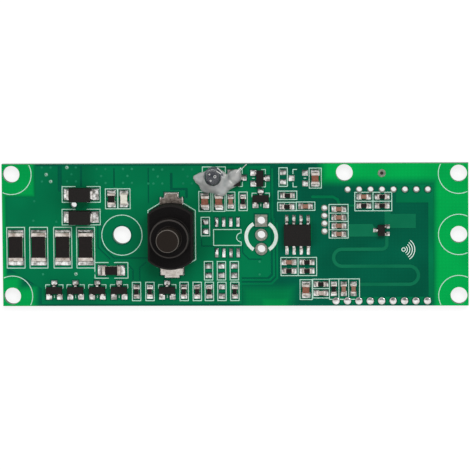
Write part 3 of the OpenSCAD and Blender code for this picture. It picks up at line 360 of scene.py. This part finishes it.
def masked_copper(name, low, high, patch_mm=7):
    """Copper foil under green solder mask: an even lacquer, a little lighter than over bare
    laminate, with the soft orange peel of a sprayed coat."""
    material, tree, shader = new_material(name, Roughness=0.3, Specular_IOR_Level=0.04)
    where = millimetres(tree)
    _, colour = mottle(tree, where, patch_mm, low, high)
    coat(tree, shader, colour)
    peel = add(
        tree, "ShaderNodeTexNoise", {"Vector": (where, "Vector"), "Scale": 1 / 0.9, "Detail": 2}
    )
    relief(tree, shader, peel, 0.006)
    return material


def metal(name, low, high, roughness, grain_mm, height_mm, round_mm=0.0, spread=0.2):
    """A bare metal skin: its colour drifts between two values, the more abruptly the smaller the
    spread, and a grain breaks its shine. The grain is drawn coarser than a real one, to show."""
    material, tree, shader = new_material(name, Metallic=1.0)
    grain, colour = mottle(tree, millimetres(tree), grain_mm, low, high, spread)
    coat(tree, shader, colour)
    shine = add(
        tree,
        "ShaderNodeMapRange",
        {"Value": (grain, "Fac"), "To Min": roughness - 0.06, "To Max": roughness + 0.06},
    )
    tree.links.new(shine.outputs["Result"], shader.inputs["Roughness"])
    relief(tree, shader, grain, height_mm, round_mm)
    return material


def grained(name, low, high, roughness, grain_mm, height_mm, round_mm=0.05):
    """A matt or satin solid, such as a moulding compound or a fired ceramic, with its grain drawn
    coarser than a real one, to show."""
    material, tree, shader = new_material(name, Roughness=roughness, Specular_IOR_Level=0.18)
    grain, colour = mottle(tree, millimetres(tree), grain_mm, low, high, 0.15, 5, 0.6)
    coat(tree, shader, colour)
    relief(tree, shader, grain, height_mm, round_mm)
    return material


def legend_ink():
    """White screen-printed ink: thin lines of it let the green through, broad strokes cover."""
    material, tree, shader = new_material("legend_ink", Roughness=0.5, Specular_IOR_Level=0.18)
    where = millimetres(tree)
    grain, thin = mottle(tree, where, 0.25, "#b2dcca", "#c8ecdd", detail=4)
    thick = add(
        tree,
        "ShaderNodeValToRGB",
        {"Fac": (grain, "Fac")},
        stops=[(0.3, "#cfe0d6"), (0.7, "#e9f3ec")],
    )
    flat = add(
        tree, "ShaderNodeVectorMath", {0: (where, "Vector"), 1: (1, 1, 0)}, operation="MULTIPLY"
    )
    total = None
    for x, y, radius in DENSE_INK:
        far = add(
            tree, "ShaderNodeVectorMath", {0: (flat, "Vector"), 1: (x, y, 0)}, operation="DISTANCE"
        )
        inside = add(tree, "ShaderNodeMath", {0: (far, "Value"), 1: radius}, operation="LESS_THAN")
        if total is None:
            total = inside
        else:
            total = add(
                tree, "ShaderNodeMath", {0: (total, "Value"), 1: (inside, "Value")},
                operation="MAXIMUM",
            )
    both = add(
        tree,
        "ShaderNodeMix",
        {0: (total, "Value"), 6: (thin, "Color"), 7: (thick, "Color")},
        data_type="RGBA",
    )
    coat(tree, shader, both, 2)
    relief(tree, shader, grain, 0.002)
    return material


def moulded_black(name, low, high, rim, roughness, highlight_from=0.0):
    """Glass-filled nylon from a spark-eroded mould: matt and near black, with a fine grain, and a
    painted highlight: a paler line where an edge turns, strong more than the given height in
    millimetres up and faint below it."""
    material, tree, shader = new_material(name, Roughness=roughness, Specular_IOR_Level=0.06)
    where = millimetres(tree)
    grain, colour = mottle(tree, where, 0.14, low, high, 0.15, 4, 0.6)
    # Painted highlight: faces that slope like a chamfer or fillet get the paler colour, as if they
    # caught a lamp.
    turned = add(tree, "ShaderNodeNewGeometry")
    axes = add(tree, "ShaderNodeSeparateXYZ", {0: (turned, "Normal")})
    slope = add(tree, "ShaderNodeMath", {0: (axes, "Z"), 1: 0.6}, operation="SUBTRACT")
    away = add(tree, "ShaderNodeMath", {0: (slope, "Value")}, operation="ABSOLUTE")
    edge = add(
        tree, "ShaderNodeMapRange", {"Value": (away, "Value"), "From Min": 0.3, "From Max": 0.12}
    )
    place = add(tree, "ShaderNodeSeparateXYZ", {0: (where, "Vector")})
    high_up = add(
        tree,
        "ShaderNodeMapRange",
        {"Value": (place, "Z"), "From Min": highlight_from, "From Max": highlight_from + 0.3, "To Min": 0.2},
    )
    painted_highlight = add(
        tree, "ShaderNodeMath", {0: (edge, "Result"), 1: (high_up, "Result")}, operation="MULTIPLY"
    )
    both = add(
        tree,
        "ShaderNodeMix",
        {0: (painted_highlight, "Value"), 6: (colour, "Color"), 7: rim},
        data_type="RGBA",
    )
    coat(tree, shader, both, 2)
    relief(tree, shader, grain, 0.008)
    return material


def clear_resin():
    """Water-clear epoxy of the light sensor over its dark inside: glossy, faintly blue-grey."""
    material, tree, shader = new_material(
        "clear_epoxy", Roughness=0.03, IOR=1.53, Transmission_Weight=0.8
    )
    _, colour = mottle(tree, millimetres(tree), 1.4, "#7d828f", "#a0a4ae")
    coat(tree, shader, colour)
    return material


def hot_melt():
    """Hot-melt glue, ethylene vinyl acetate: milky and glossy, with faint flow lines."""
    material, tree, shader = new_material(
        "hot_melt_glue", Roughness=0.14, IOR=1.48, Transmission_Weight=0.5, Coat_Weight=0.6
    )
    flow, colour = mottle(tree, millimetres(tree), 1.3, "#d3d6d7", "#f5f5f1", detail=3)
    coat(tree, shader, colour)
    relief(tree, shader, flow, 0.05)
    return material


def glue_thread_and_highlight():
    """The same glue drawn thin and near white: the thread turns white where it was stretched, and
    the same white on the streaks over the glue is a painted highlight.
    """
    material, tree, shader = new_material(
        "glue_thread_and_painted_highlight", Roughness=0.25, IOR=1.48, Transmission_Weight=0.15, Coat_Weight=0.5
    )
    flow, colour = mottle(tree, millimetres(tree), 0.4, "#e4e4e0", "#fafaf8")
    coat(tree, shader, colour)
    relief(tree, shader, flow, 0.01)
    return material


def dress(piece, material):
    """Gives a piece one material in place of those that it has."""
    piece.data.materials.clear()
    piece.data.materials.append(material)


def assign(node, material):
    dress(NODES[node], material)


def deselect():
    bpy.ops.object.select_all(action="DESELECT")


def select_only(piece):
    deselect()
    piece.select_set(True)
    bpy.context.view_layer.objects.active = piece


def select_faces(piece, wanted):
    """Leaves the piece in edit mode, with only the wanted faces selected."""
    select_only(piece)
    bpy.ops.object.mode_set(mode="EDIT")
    bpy.ops.mesh.select_mode(type="FACE")
    bpy.ops.mesh.select_all(action="DESELECT")
    bpy.ops.object.mode_set(mode="OBJECT")
    for face in piece.data.polygons:
        face.select = wanted(face)
    bpy.ops.object.mode_set(mode="EDIT")


def joined(pieces):
    """Makes one piece of several."""
    deselect()
    for piece in pieces:
        piece.select_set(True)
    bpy.context.view_layer.objects.active = pieces[0]
    bpy.ops.object.join()
    return pieces[0]


def copy_of(node, name):
    """A copy of a CAD node whose loose triangles are merged, left in edit mode, all selected."""
    piece = bpy.data.objects.new(name, NODES[node].data.copy())
    bpy.context.collection.objects.link(piece)
    select_only(piece)
    bpy.ops.object.mode_set(mode="EDIT")
    bpy.ops.mesh.select_mode(type="FACE")
    bpy.ops.mesh.select_all(action="SELECT")
    bpy.ops.mesh.remove_doubles(threshold=WELD)
    return piece


def bake_place():
    """Puts the selected piece's place, turn and size into its mesh."""
    bpy.ops.object.transform_apply(location=True, rotation=True, scale=True)


def settle(piece, name, material):
    """Names a finished piece, puts its place into its mesh, dresses it and lets it ride."""
    select_only(piece)
    bake_place()
    piece.name = name
    piece.data.name = name
    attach(piece, BODY)
    dress(piece, material)


def smooth(piece, degrees):
    select_only(piece)
    bpy.ops.object.shade_smooth_by_angle(angle=math.radians(degrees))


def apply_modifier(piece, kind, **settings):
    bpy.context.view_layer.objects.active = piece
    modifier = piece.modifiers.new(kind.title(), kind)
    for key, value in settings.items():
        setattr(modifier, key, value)
    bpy.ops.object.modifier_apply(modifier=modifier.name)


class RadarBoardSizes(bpy.types.PropertyGroup):
    sign_reach: FloatProperty(
        name="Wave sign reach",
        description="Radius of the outer arc of the printed wave sign",
        default=2.0 * MM,
        unit="LENGTH",
    )
    sign_arcs: IntProperty(
        name="Wave sign arcs", description="Number of arcs in the sign", default=4
    )
    tin_height: FloatProperty(
        name="Tin height",
        description="Height of the crown of tin on a pad",
        default=0.12 * MM,
        unit="LENGTH",
    )
    floor_size: FloatProperty(
        name="Floor size", description="Side of the studio floor", default=4.0, unit="LENGTH"
    )


class RadarBoardColours(bpy.types.PropertyGroup):
    backdrop: FloatVectorProperty(
        name="Backdrop",
        description="Colour of the floor and the backdrop",
        subtype="COLOR",
        default=linear("#ffffff")[:3],
    )


class RADAR_OT_board_finish(bpy.types.Operator):
    """Gives the board, its copper, pads, vias and print their materials"""

    bl_idname = "radar_board.board_finish"
    bl_label = "Finish the board"

    def execute(self, context):
        assign("bare_board", laminate_material())
        assign("front_copper", masked_copper("mask_over_copper", "#006540", "#007a4c", patch_mm=11))
        assign("aerial_strip", masked_copper("mask_over_strip", "#076a49", "#127552"))
        assign("ground_plane", masked_copper("mask_over_back_copper", "#005f3c", "#006b45"))
        # Tinned copper, levelled by hot air: bright, slightly uneven, near white.
        tin = metal("levelled_tin", "#8a8984", "#fcfbf9", 0.2, 0.7, 0.11, spread=0.14)
        for node in ("solder_pads", "wire_pads"):
            assign(node, tin)
        # The rings of the drilled holes carry a thin coat that has gone dull.
        assign("hole_liners", metal("dull_tin", "#767a70", "#a8aa9d", 0.42, 0.4, 0.02))
        assign("open_vias", masked_copper("mask_on_via_rims", "#5fa688", "#86c4a6"))
        assign("plugged_vias", masked_copper("mask_in_vias", "#0c7450", "#2a8f68"))
        assign("printed_legend", legend_ink())
        assign("hole_solder", metal("solder", "#cfcac5", "#ffffff", 0.18, 0.6, 0.05))
        # The fillets at the chips are small and rough with flux.
        fillets = metal("solder_fillets", "#999289", "#f7f3ef", 0.2, 0.7, 0.06, spread=0.16)
        for node in ("chip_solder", "tab_solder"):
            assign(node, fillets)
        return {"FINISHED"}


class RADAR_OT_pad_tin(bpy.types.Operator):
    """Puts a crown of tin on each pad of the front, as hot-air levelling leaves it"""

    bl_idname = "radar_board.pad_tin"
    bl_label = "Tin the pads"

    def execute(self, context):
        height = context.scene.radar_board_sizes.tin_height
        pads = copy_of("solder_pads", "tinned_pads")
        bpy.ops.mesh.dissolve_limited(angle_limit=math.radians(1))
        bpy.ops.object.mode_set(mode="OBJECT")
        level = PAD_TOP - 0.01 * MM
        select_faces(pads, lambda face: face.normal.z > 0.9 and face.center.z > level)
        for width, share in TIN_STEPS:
            bpy.ops.mesh.inset(thickness=width * MM, depth=share * height, use_individual=True)
        bpy.ops.object.mode_set(mode="OBJECT")
        smooth(pads, 50)
        settle(pads, "tinned_pads", bpy.data.materials["levelled_tin"])
        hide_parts("solder_pads")
        return {"FINISHED"}


class RADAR_OT_parts_finish(bpy.types.Operator):
    """Gives the chips, diodes, transistors, controller and sensor their materials"""

    bl_idname = "radar_board.parts_finish"
    bl_label = "Finish the parts"

    def execute(self, context):
        alumina = grained("alumina", "#d8d3c8", "#eae6dc", 0.5, 0.2, 0.004)
        # Overglaze of a thick-film resistor: black glass with a low satin shine.
        glaze = grained("resistor_overglaze", "#0d0a09", "#1c1514", 0.35, 0.18, 0.004)
        # Barrel-plated tin, satin with a fine crystal grain.
        plate = metal("barrel_tin", "#a3968c", "#f5ede6", 0.26, 0.85, 0.07, 0.1)
        for size in ("power", "medium", "small"):
            assign(f"{size}_resistor_cores", alumina)
            assign(f"{size}_resistor_coats", glaze)
            assign(f"{size}_resistor_ends", plate)
        for part in ("large_capacitor", "small_capacitor", "pale_chip", "status_led"):
            assign(f"{part}_ends", plate)
        # Fired barium titanate: brown, satin, slightly mottled.
        brown = grained("brown_titanate", "#7a4a3a", "#94604e", 0.42, 0.3, 0.004)
        assign("large_capacitor_bodies", brown)
        rosy = grained("rosy_titanate", "#86604f", "#9d7767", 0.42, 0.3, 0.004)
        assign("small_capacitor_bodies", rosy)
        assign("pale_chip_body", grained("pale_ceramic", "#a99a92", "#c6bab0", 0.45, 0.3, 0.006))
        laminate = grained("white_laminate", "#cfc9ba", "#e2dccd", 0.5, 0.2, 0.004)
        assign("status_led_base", laminate)
        assign("status_led_lens", grained("milky_resin", "#dcd8c9", "#efece0", 0.25, 0.4, 0.004))
        # Epoxy moulding compound, fine-blasted mould: charcoal with a mineral filler.
        compound = grained("epoxy_compound", "#131211", "#221f1d", 0.55, 0.16, 0.006, 0.08)
        leads = metal("tinned_leads", "#958d86", "#faf6f2", 0.22, 0.7, 0.07, 0.05, 0.16)
        for part in ("diode", "transistor", "radar_transistor", "controller"):
            body = "bodies" if part in ("diode", "transistor") else "body"
            assign(f"{part}_{body}", compound)
            assign(f"{part}_leads", leads)
        assign("light_sensor_frame", leads)
        assign("light_sensor_lens", clear_resin())
        assign("light_sensor_chip", grained("silicon", "#14163a", "#23265a", 0.2, 0.2, 0.001))
        return {"FINISHED"}


class RADAR_OT_switch_finish(bpy.types.Operator):
    """Gives the push switch its plastics and metals"""

    bl_idname = "radar_board.switch_finish"
    bl_label = "Finish the switch"

    def execute(self, context):
        # The housing's third colour is the painted highlight along its upper edges.
        housing = moulded_black("black_nylon", "#0d0c0c", "#161414", "#423e3c", 0.48, 7.4)
        for node in ("switch_base", "switch_cover"):
            assign(node, housing)
        # The plunger's moulding is a shade browner and greyer than its housing.
        # The plunger's third colour is a paler painted highlight along its edges.
        plunger = moulded_black("brown_black_nylon", "#201b18", "#2a2420", "#77706b", 0.45)
        assign("switch_plunger", plunger)
        # Drawn spring wire and rolled brass, both bare. The terminals are of brass with dull tin.
        assign("switch_spring", metal("spring_wire", "#a9abad", "#cfd1d3", 0.3, 0.2, 0.004))
        assign("switch_bridge", metal("contact_brass", "#b48a3c", "#d6ae62", 0.3, 0.3, 0.004))
        tabs = metal("tinned_brass", "#625850", "#a79c92", 0.34, 0.45, 0.03, 0.08)
        assign("switch_terminals", tabs)
        return {"FINISHED"}


class RADAR_OT_tab_beads(bpy.types.Operator):
    """Lays the solder that ran over the lower tab of the switch, and pale beads on the upper tab's
    tip and edges that are painted highlights
    """

    bl_idname = "radar_board.tab_beads"
    bl_label = "Solder the tabs"

    def execute(self, context):
        beads = []
        for x, y, width, length, height in TAB_SOLDER_AND_HIGHLIGHT_BEADS:
            deselect()
            bpy.ops.mesh.primitive_cube_add(
                size=1,
                location=(x * MM, y * MM, TAB_TOP),
                scale=(width * MM, length * MM, height * MM),
            )
            bead = context.object
            bake_place()
            bpy.ops.object.mode_set(mode="EDIT")
            bpy.ops.mesh.select_all(action="SELECT")
            rounding = min(width, length, height) * 0.3 * MM
            bpy.ops.mesh.bevel(offset=rounding, segments=2, affect="EDGES")
            bpy.ops.object.mode_set(mode="OBJECT")
            apply_modifier(bead, "SUBSURF", levels=2, render_levels=2)
            beads.append(bead)
        beads = joined(beads)
        bpy.ops.object.shade_smooth()
        # Solder that set slowly on the thick tabs: paler and duller than that in the holes. On the
        # upper tab the same pale beads are painted highlights.
        bead_metal = metal("tab_solder_and_painted_highlight", "#b3aaa2", "#e0d9d2", 0.25, 0.6, 0.05)
        settle(beads, "tab_beads", bead_metal)
        return {"FINISHED"}


class RADAR_OT_wave_sign(bpy.types.Operator):
    """Prints the radio wave sign beside the aerial: a small ring and arcs that open to the right"""

    bl_idname = "radar_board.wave_sign"
    bl_label = "Print the wave sign"

    def execute(self, context):
        sizes = context.scene.radar_board_sizes
        centre = Vector((SIGN_AT[0] * MM, SIGN_AT[1] * MM, BOARD_TOP))
        rings = [(SIGN_RING * MM, 360)]
        for i in range(sizes.sign_arcs):
            # The first arc has about a third of the reach of the last.
            rings.append((sizes.sign_reach * (0.34 + 0.66 * i / (sizes.sign_arcs - 1)), SIGN_SWEEP))
        sign = joined([self.arc(context, centre, radius, sweep) for radius, sweep in rings])
        apply_modifier(sign, "SOLIDIFY", thickness=SIGN_INK * MM, offset=0)
        sign.location.z += SIGN_LIFT * MM
        settle(sign, "wave_sign", bpy.data.materials["legend_ink"])
        return {"FINISHED"}

    def arc(self, context, centre, radius, sweep):
        """A short edge that is turned to the arc's start and spun about the middle of the sign."""
        deselect()
        place = centre + Vector((radius, 0, 0))
        bpy.ops.mesh.primitive_plane_add(size=SIGN_STROKE * MM, location=place)
        arc = context.object
        bpy.ops.object.mode_set(mode="EDIT")
        bpy.ops.mesh.select_mode(type="VERT")
        bpy.ops.mesh.select_all(action="SELECT")
        bpy.ops.mesh.delete(type="ONLY_FACE")
        bpy.ops.object.mode_set(mode="OBJECT")
        for corner in arc.data.vertices:
            corner.select = corner.co.y > 0
        bpy.ops.object.mode_set(mode="EDIT")
        bpy.ops.mesh.delete(type="VERT")
        bpy.ops.mesh.select_all(action="SELECT")
        start = math.radians(-sweep / 2)
        bpy.ops.transform.rotate(value=start, orient_axis="Z", center_override=centre)
        steps = max(10, sweep // 8)
        bpy.ops.mesh.spin(steps=steps, angle=math.radians(sweep), center=centre, axis=(0, 0, 1))
        bpy.ops.mesh.select_all(action="SELECT")
        bpy.ops.mesh.remove_doubles(threshold=SIGN_WELD)
        bpy.ops.mesh.normals_make_consistent(inside=False)
        bpy.ops.object.mode_set(mode="OBJECT")
        return arc


class RADAR_OT_glue(bpy.types.Operator):
    """Replaces the plain drop of glue with one smooth poured form"""

    bl_idname = "radar_board.glue"
    bl_label = "Pour the glue"

    def execute(self, context):
        balls = []
        for x, y, z, *radii in GLUE_BALLS:
            deselect()
            bpy.ops.mesh.primitive_uv_sphere_add(
                segments=32,
                ring_count=16,
                radius=1,
                location=(x * MM, y * MM, z * MM),
                scale=[radius * MM for radius in radii],
            )
            balls.append(context.object)
        drop = joined(balls)
        bake_place()
        apply_modifier(drop, "REMESH", mode="VOXEL", voxel_size=GLUE_NET * MM)
        apply_modifier(drop, "SMOOTH", factor=0.5, iterations=GLUE_SMOOTHING)
        bpy.ops.object.mode_set(mode="EDIT")
        bpy.ops.mesh.select_all(action="SELECT")
        # It is cut flat where it lies on the print.
        bpy.ops.mesh.bisect(
            plane_co=(0, 0, INK_TOP + 0.005 * MM),
            plane_no=(0, 0, 1),
            clear_inner=True,
            use_fill=True,
        )
        bpy.ops.object.mode_set(mode="OBJECT")
        bpy.ops.object.shade_smooth()
        settle(drop, "poured_glue", hot_melt())
        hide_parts("glue_drop")
        return {"FINISHED"}


class RADAR_OT_glue_string(bpy.types.Operator):
    """Draws the thread of glue that the nozzle left, and three white streaks over the glue that are
    painted highlights
    """

    bl_idname = "radar_board.glue_string"
    bl_label = "Draw the glue string"

    def execute(self, context):
        lines = []
        for thickness, *ends in GLUE_THREAD_AND_HIGHLIGHTS:
            deselect()
            bpy.ops.curve.primitive_bezier_curve_add(radius=MM)
            line = context.object
            line.location = (0, 0, 0)
            for point, end in zip(line.data.splines[0].bezier_points, (ends[:3], ends[3:])):
                point.handle_left_type = point.handle_right_type = "FREE"
                point.co, point.handle_left, point.handle_right = (Vector(p) * MM for p in end)
            line.data.bevel_depth = thickness / 2 * MM
            line.data.bevel_resolution = 3
            line.data.resolution_u = 16
            line.data.use_fill_caps = True
            bpy.ops.object.convert(target="MESH")
            lines.append(context.object)
        strings = joined(lines)
        bpy.ops.object.shade_smooth()
        settle(strings, "glue_string", glue_thread_and_highlight())
        return {"FINISHED"}


class RADAR_OT_bubbles(bpy.types.Operator):
    """Leaves the rims of three small burst bubbles in the film of glue on the lens"""

    bl_idname = "radar_board.bubbles"
    bl_label = "Burst the bubbles"

    def execute(self, context):
        low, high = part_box("light_sensor_lens")
        dome = (high.x - low.x) / 2 / MM
        middle = (low + high) / 2 / MM
        middle.z = high.z / MM - dome
        rims = []
        for x, y, radius, thickness in BUBBLES:
            deselect()
            bpy.ops.mesh.primitive_torus_add(
                major_segments=28,
                minor_segments=10,
                major_radius=radius * MM,
                minor_radius=thickness * MM,
                location=(x * MM, y * MM, 0),
            )
            rim = context.object
            bake_place()
            # Each rim is flattened and laid on the dome of the lens.
            for point in rim.data.vertices:
                away = (point.co / MM - middle).xy.length
                height = middle.z + math.sqrt(max(dome**2 - away**2, 0))
                point.co.z = BUBBLE_FLATNESS * point.co.z + height * MM
            rims.append(rim)
        bubbles = joined(rims)
        bpy.ops.object.shade_smooth()
        settle(bubbles, "glue_bubbles", bpy.data.materials["glue_thread_and_painted_highlight"])
        return {"FINISHED"}


class RADAR_OT_return_spring(bpy.types.Operator):
    """Copies the return spring with its loose triangles welded, smooths its shading and gives it a
    mesh of its own
    """

    bl_idname = "radar_board.return_spring"
    bl_label = "Wind the spring"

    def execute(self, context):
        spring = copy_of("switch_spring", "return_spring")
        bpy.ops.object.mode_set(mode="OBJECT")
        smooth(spring, 60)
        settle(spring, "return_spring", bpy.data.materials["spring_wire"])
        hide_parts("switch_spring")
        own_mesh(spring)
        return {"FINISHED"}


class RADAR_OT_test_hole(bpy.types.Operator):
    """Fills the small plated test hole with a dark plug whose top sinks in steps"""

    bl_idname = "radar_board.test_hole"
    bl_label = "Fill the test hole"

    def execute(self, context):
        deselect()
        bpy.ops.mesh.primitive_cylinder_add(
            vertices=40,
            radius=PLUG_RADIUS * MM,
            depth=PLUG_LENGTH * MM,
            location=[length * MM for length in PLUG_AT],
        )
        plug = context.object
        bake_place()
        select_faces(plug, lambda face: face.normal.z > 0.9)
        for width, drop in PLUG_STEPS:
            bpy.ops.mesh.inset(thickness=width * MM, depth=-drop * MM)
        bpy.ops.object.mode_set(mode="OBJECT")
        smooth(plug, 60)
        hole_fill = grained("dark_hole_fill", "#262b20", "#3d4433", 0.3, 0.2, 0.006, 0.0)
        settle(plug, "test_hole_fill", hole_fill)
        return {"FINISHED"}


class RADAR_OT_stage(bpy.types.Operator):
    """Sets the floor, the soft lamps, the white surround and the camera"""

    bl_idname = "radar_board.stage"
    bl_label = "Set the stage"

    def execute(self, context):
        scene = context.scene
        scene.view_settings.view_transform = "Standard"
        self.floor(context)
        self.lamps()
        self.surround(scene)
        self.camera(scene)
        return {"FINISHED"}

    def floor(self, context):
        """A floor that glows white to the eye, in metal and through glass, and keeps the shadow."""
        side = context.scene.radar_board_sizes.floor_size
        colour = context.scene.radar_board_colours.backdrop
        deselect()
        bpy.ops.mesh.primitive_plane_add(size=side, location=(0, 0, -FLOOR_GAP * MM))
        floor = context.object
        floor.name = "studio_floor"
        material = bpy.data.materials.new("studio_white")
        material.use_nodes = True
        tree = material.node_tree
        tree.nodes.clear()
        grey = (FLOOR_GREY, FLOOR_GREY, FLOOR_GREY, 1)
        paint = add(tree, "ShaderNodeBsdfDiffuse", {"Color": grey})
        rays = add(tree, "ShaderNodeLightPath")
        direct = add(
            tree,
            "ShaderNodeMath",
            {0: (rays, "Is Camera Ray"), 1: (rays, "Is Glossy Ray")},
            operation="MAXIMUM",
        )
        seen = add(
            tree,
            "ShaderNodeMath",
            {0: (direct, "Value"), 1: (rays, "Is Transmission Ray")},
            operation="MAXIMUM",
        )
        share = add(
            tree, "ShaderNodeMath", {0: (seen, "Value"), 1: FLOOR_GLOW}, operation="MULTIPLY"
        )
        glow = add(
            tree, "ShaderNodeEmission", {"Color": (*colour, 1), "Strength": (share, "Value")}
        )
        total = add(tree, "ShaderNodeAddShader", {0: (paint, "BSDF"), 1: (glow, "Emission")})
        add(tree, "ShaderNodeOutputMaterial", {"Surface": (total, "Shader")})
        floor.data.materials.append(material)

    def lamps(self):
        for name, place, size, power, shines in LAMPS:
            deselect()
            bpy.ops.object.light_add(type="AREA", location=place)
            lamp = bpy.context.object
            lamp.name = name
            lamp.data.shape = "RECTANGLE"
            lamp.data.size, lamp.data.size_y = size
            lamp.data.energy = power
            lamp.visible_glossy = shines
            lamp.rotation_euler = (-Vector(place)).to_track_quat("-Z", "Y").to_euler()

    def surround(self, scene):
        """Metal sees a white ceiling and pale walls with a dark band high up beyond the top edge:
        that draws the edges of pads and leads and darkens each bead of solder at one end."""
        world = bpy.data.worlds.new("studio_surround")
        scene.world = world
        world.use_nodes = True
        tree = world.node_tree
        tree.nodes.clear()
        white = (1, 1, 1, 1)
        rays = add(tree, "ShaderNodeLightPath")
        lit = add(tree, "ShaderNodeBackground", {"Color": white, "Strength": WORLD_LIGHT})
        seen = add(tree, "ShaderNodeBackground", {"Color": white, "Strength": 1.0})
        place = add(tree, "ShaderNodeTexCoord")
        axes = add(tree, "ShaderNodeSeparateXYZ", {0: (place, "Generated")})
        limits = ("From Min", "From Max", "To Min", "To Max")
        rise, near, wall = (
            add(tree, "ShaderNodeMapRange", {"Value": (axes, axis), **dict(zip(limits, values))})
            for axis, *values in REFLECTED_WALLS
        )
        band = add(
            tree, "ShaderNodeMath", {0: (near, "Result"), 1: (wall, "Result")}, operation="MAXIMUM"
        )
        shade = add(
            tree, "ShaderNodeMath", {0: (rise, "Result"), 1: (band, "Value")}, operation="MULTIPLY"
        )
        mirrored = add(
            tree, "ShaderNodeBackground", {"Color": white, "Strength": (shade, "Value")}
        )
        light = add(
            tree, "ShaderNodeMixShader", {0: (rays, "Is Glossy Ray"), 1: (lit, 0), 2: (mirrored, 0)}
        )
        total = add(
            tree, "ShaderNodeMixShader", {0: (rays, "Is Camera Ray"), 1: (light, 0), 2: (seen, 0)}
        )
        add(tree, "ShaderNodeOutputWorld", {"Surface": (total, 0)})

    def camera(self, scene):
        """A long lens that looks a little from beyond the top edge and from the right."""
        turn = Matrix.Identity(3)
        for degrees, axis in zip(CAMERA_TURNS, "XYZ"):
            turn = turn @ Matrix.Rotation(math.radians(degrees), 3, axis)
        back = turn.transposed()
        aim = Vector((*CAMERA_AIM, 0)) * MM
        deselect()
        bpy.ops.object.camera_add(location=back @ (Vector((0, 0, CAMERA_DISTANCE)) - aim))
        camera = bpy.context.object
        camera.name = "photo_camera"
        camera.rotation_euler = back.to_euler()
        camera.data.sensor_width = SENSOR
        camera.data.lens = SENSOR * PIXELS_PER_MM * CAMERA_DISTANCE / MM / PICTURE_WIDTH
        camera.data.clip_start = 0.01
        camera.data.clip_end = 20
        scene.camera = camera


class RADAR_PT_panel(bpy.types.Panel):
    bl_label = "Radar Board"
    bl_idname = "RADAR_PT_panel"
    bl_space_type = "VIEW_3D"
    bl_region_type = "UI"
    bl_category = "Radar Board"

    def draw(self, context):
        for group in (context.scene.radar_board_sizes, context.scene.radar_board_colours):
            for name in group.__annotations__:
                self.layout.prop(group, name)
        for operator in OPERATORS:
            self.layout.operator(operator.bl_idname)


OPERATORS = (
    RADAR_OT_board_finish,
    RADAR_OT_pad_tin,
    RADAR_OT_parts_finish,
    RADAR_OT_switch_finish,
    RADAR_OT_tab_beads,
    RADAR_OT_wave_sign,
    RADAR_OT_glue,
    RADAR_OT_glue_string,
    RADAR_OT_bubbles,
    RADAR_OT_return_spring,
    RADAR_OT_test_hole,
    RADAR_OT_stage,
)
CLASSES = (RadarBoardSizes, RadarBoardColours, *OPERATORS, RADAR_PT_panel)


def register():
    for item in CLASSES:
        bpy.utils.register_class(item)
    bpy.types.Scene.radar_board_sizes = PointerProperty(type=RadarBoardSizes)
    bpy.types.Scene.radar_board_colours = PointerProperty(type=RadarBoardColours)


def unregister():
    del bpy.types.Scene.radar_board_colours
    del bpy.types.Scene.radar_board_sizes
    for item in reversed(CLASSES):
        bpy.utils.unregister_class(item)


def main():
    register()
    bpy.ops.radar_board.board_finish()
    bpy.ops.radar_board.pad_tin()
    bpy.ops.radar_board.parts_finish()
    bpy.ops.radar_board.switch_finish()
    bpy.ops.radar_board.tab_beads()
    bpy.ops.radar_board.wave_sign()
    bpy.ops.radar_board.glue()
    bpy.ops.radar_board.glue_string()
    bpy.ops.radar_board.bubbles()
    bpy.ops.radar_board.return_spring()
    bpy.ops.radar_board.test_hole()
    bpy.ops.radar_board.stage()


if __name__ == "__main__":
    main()
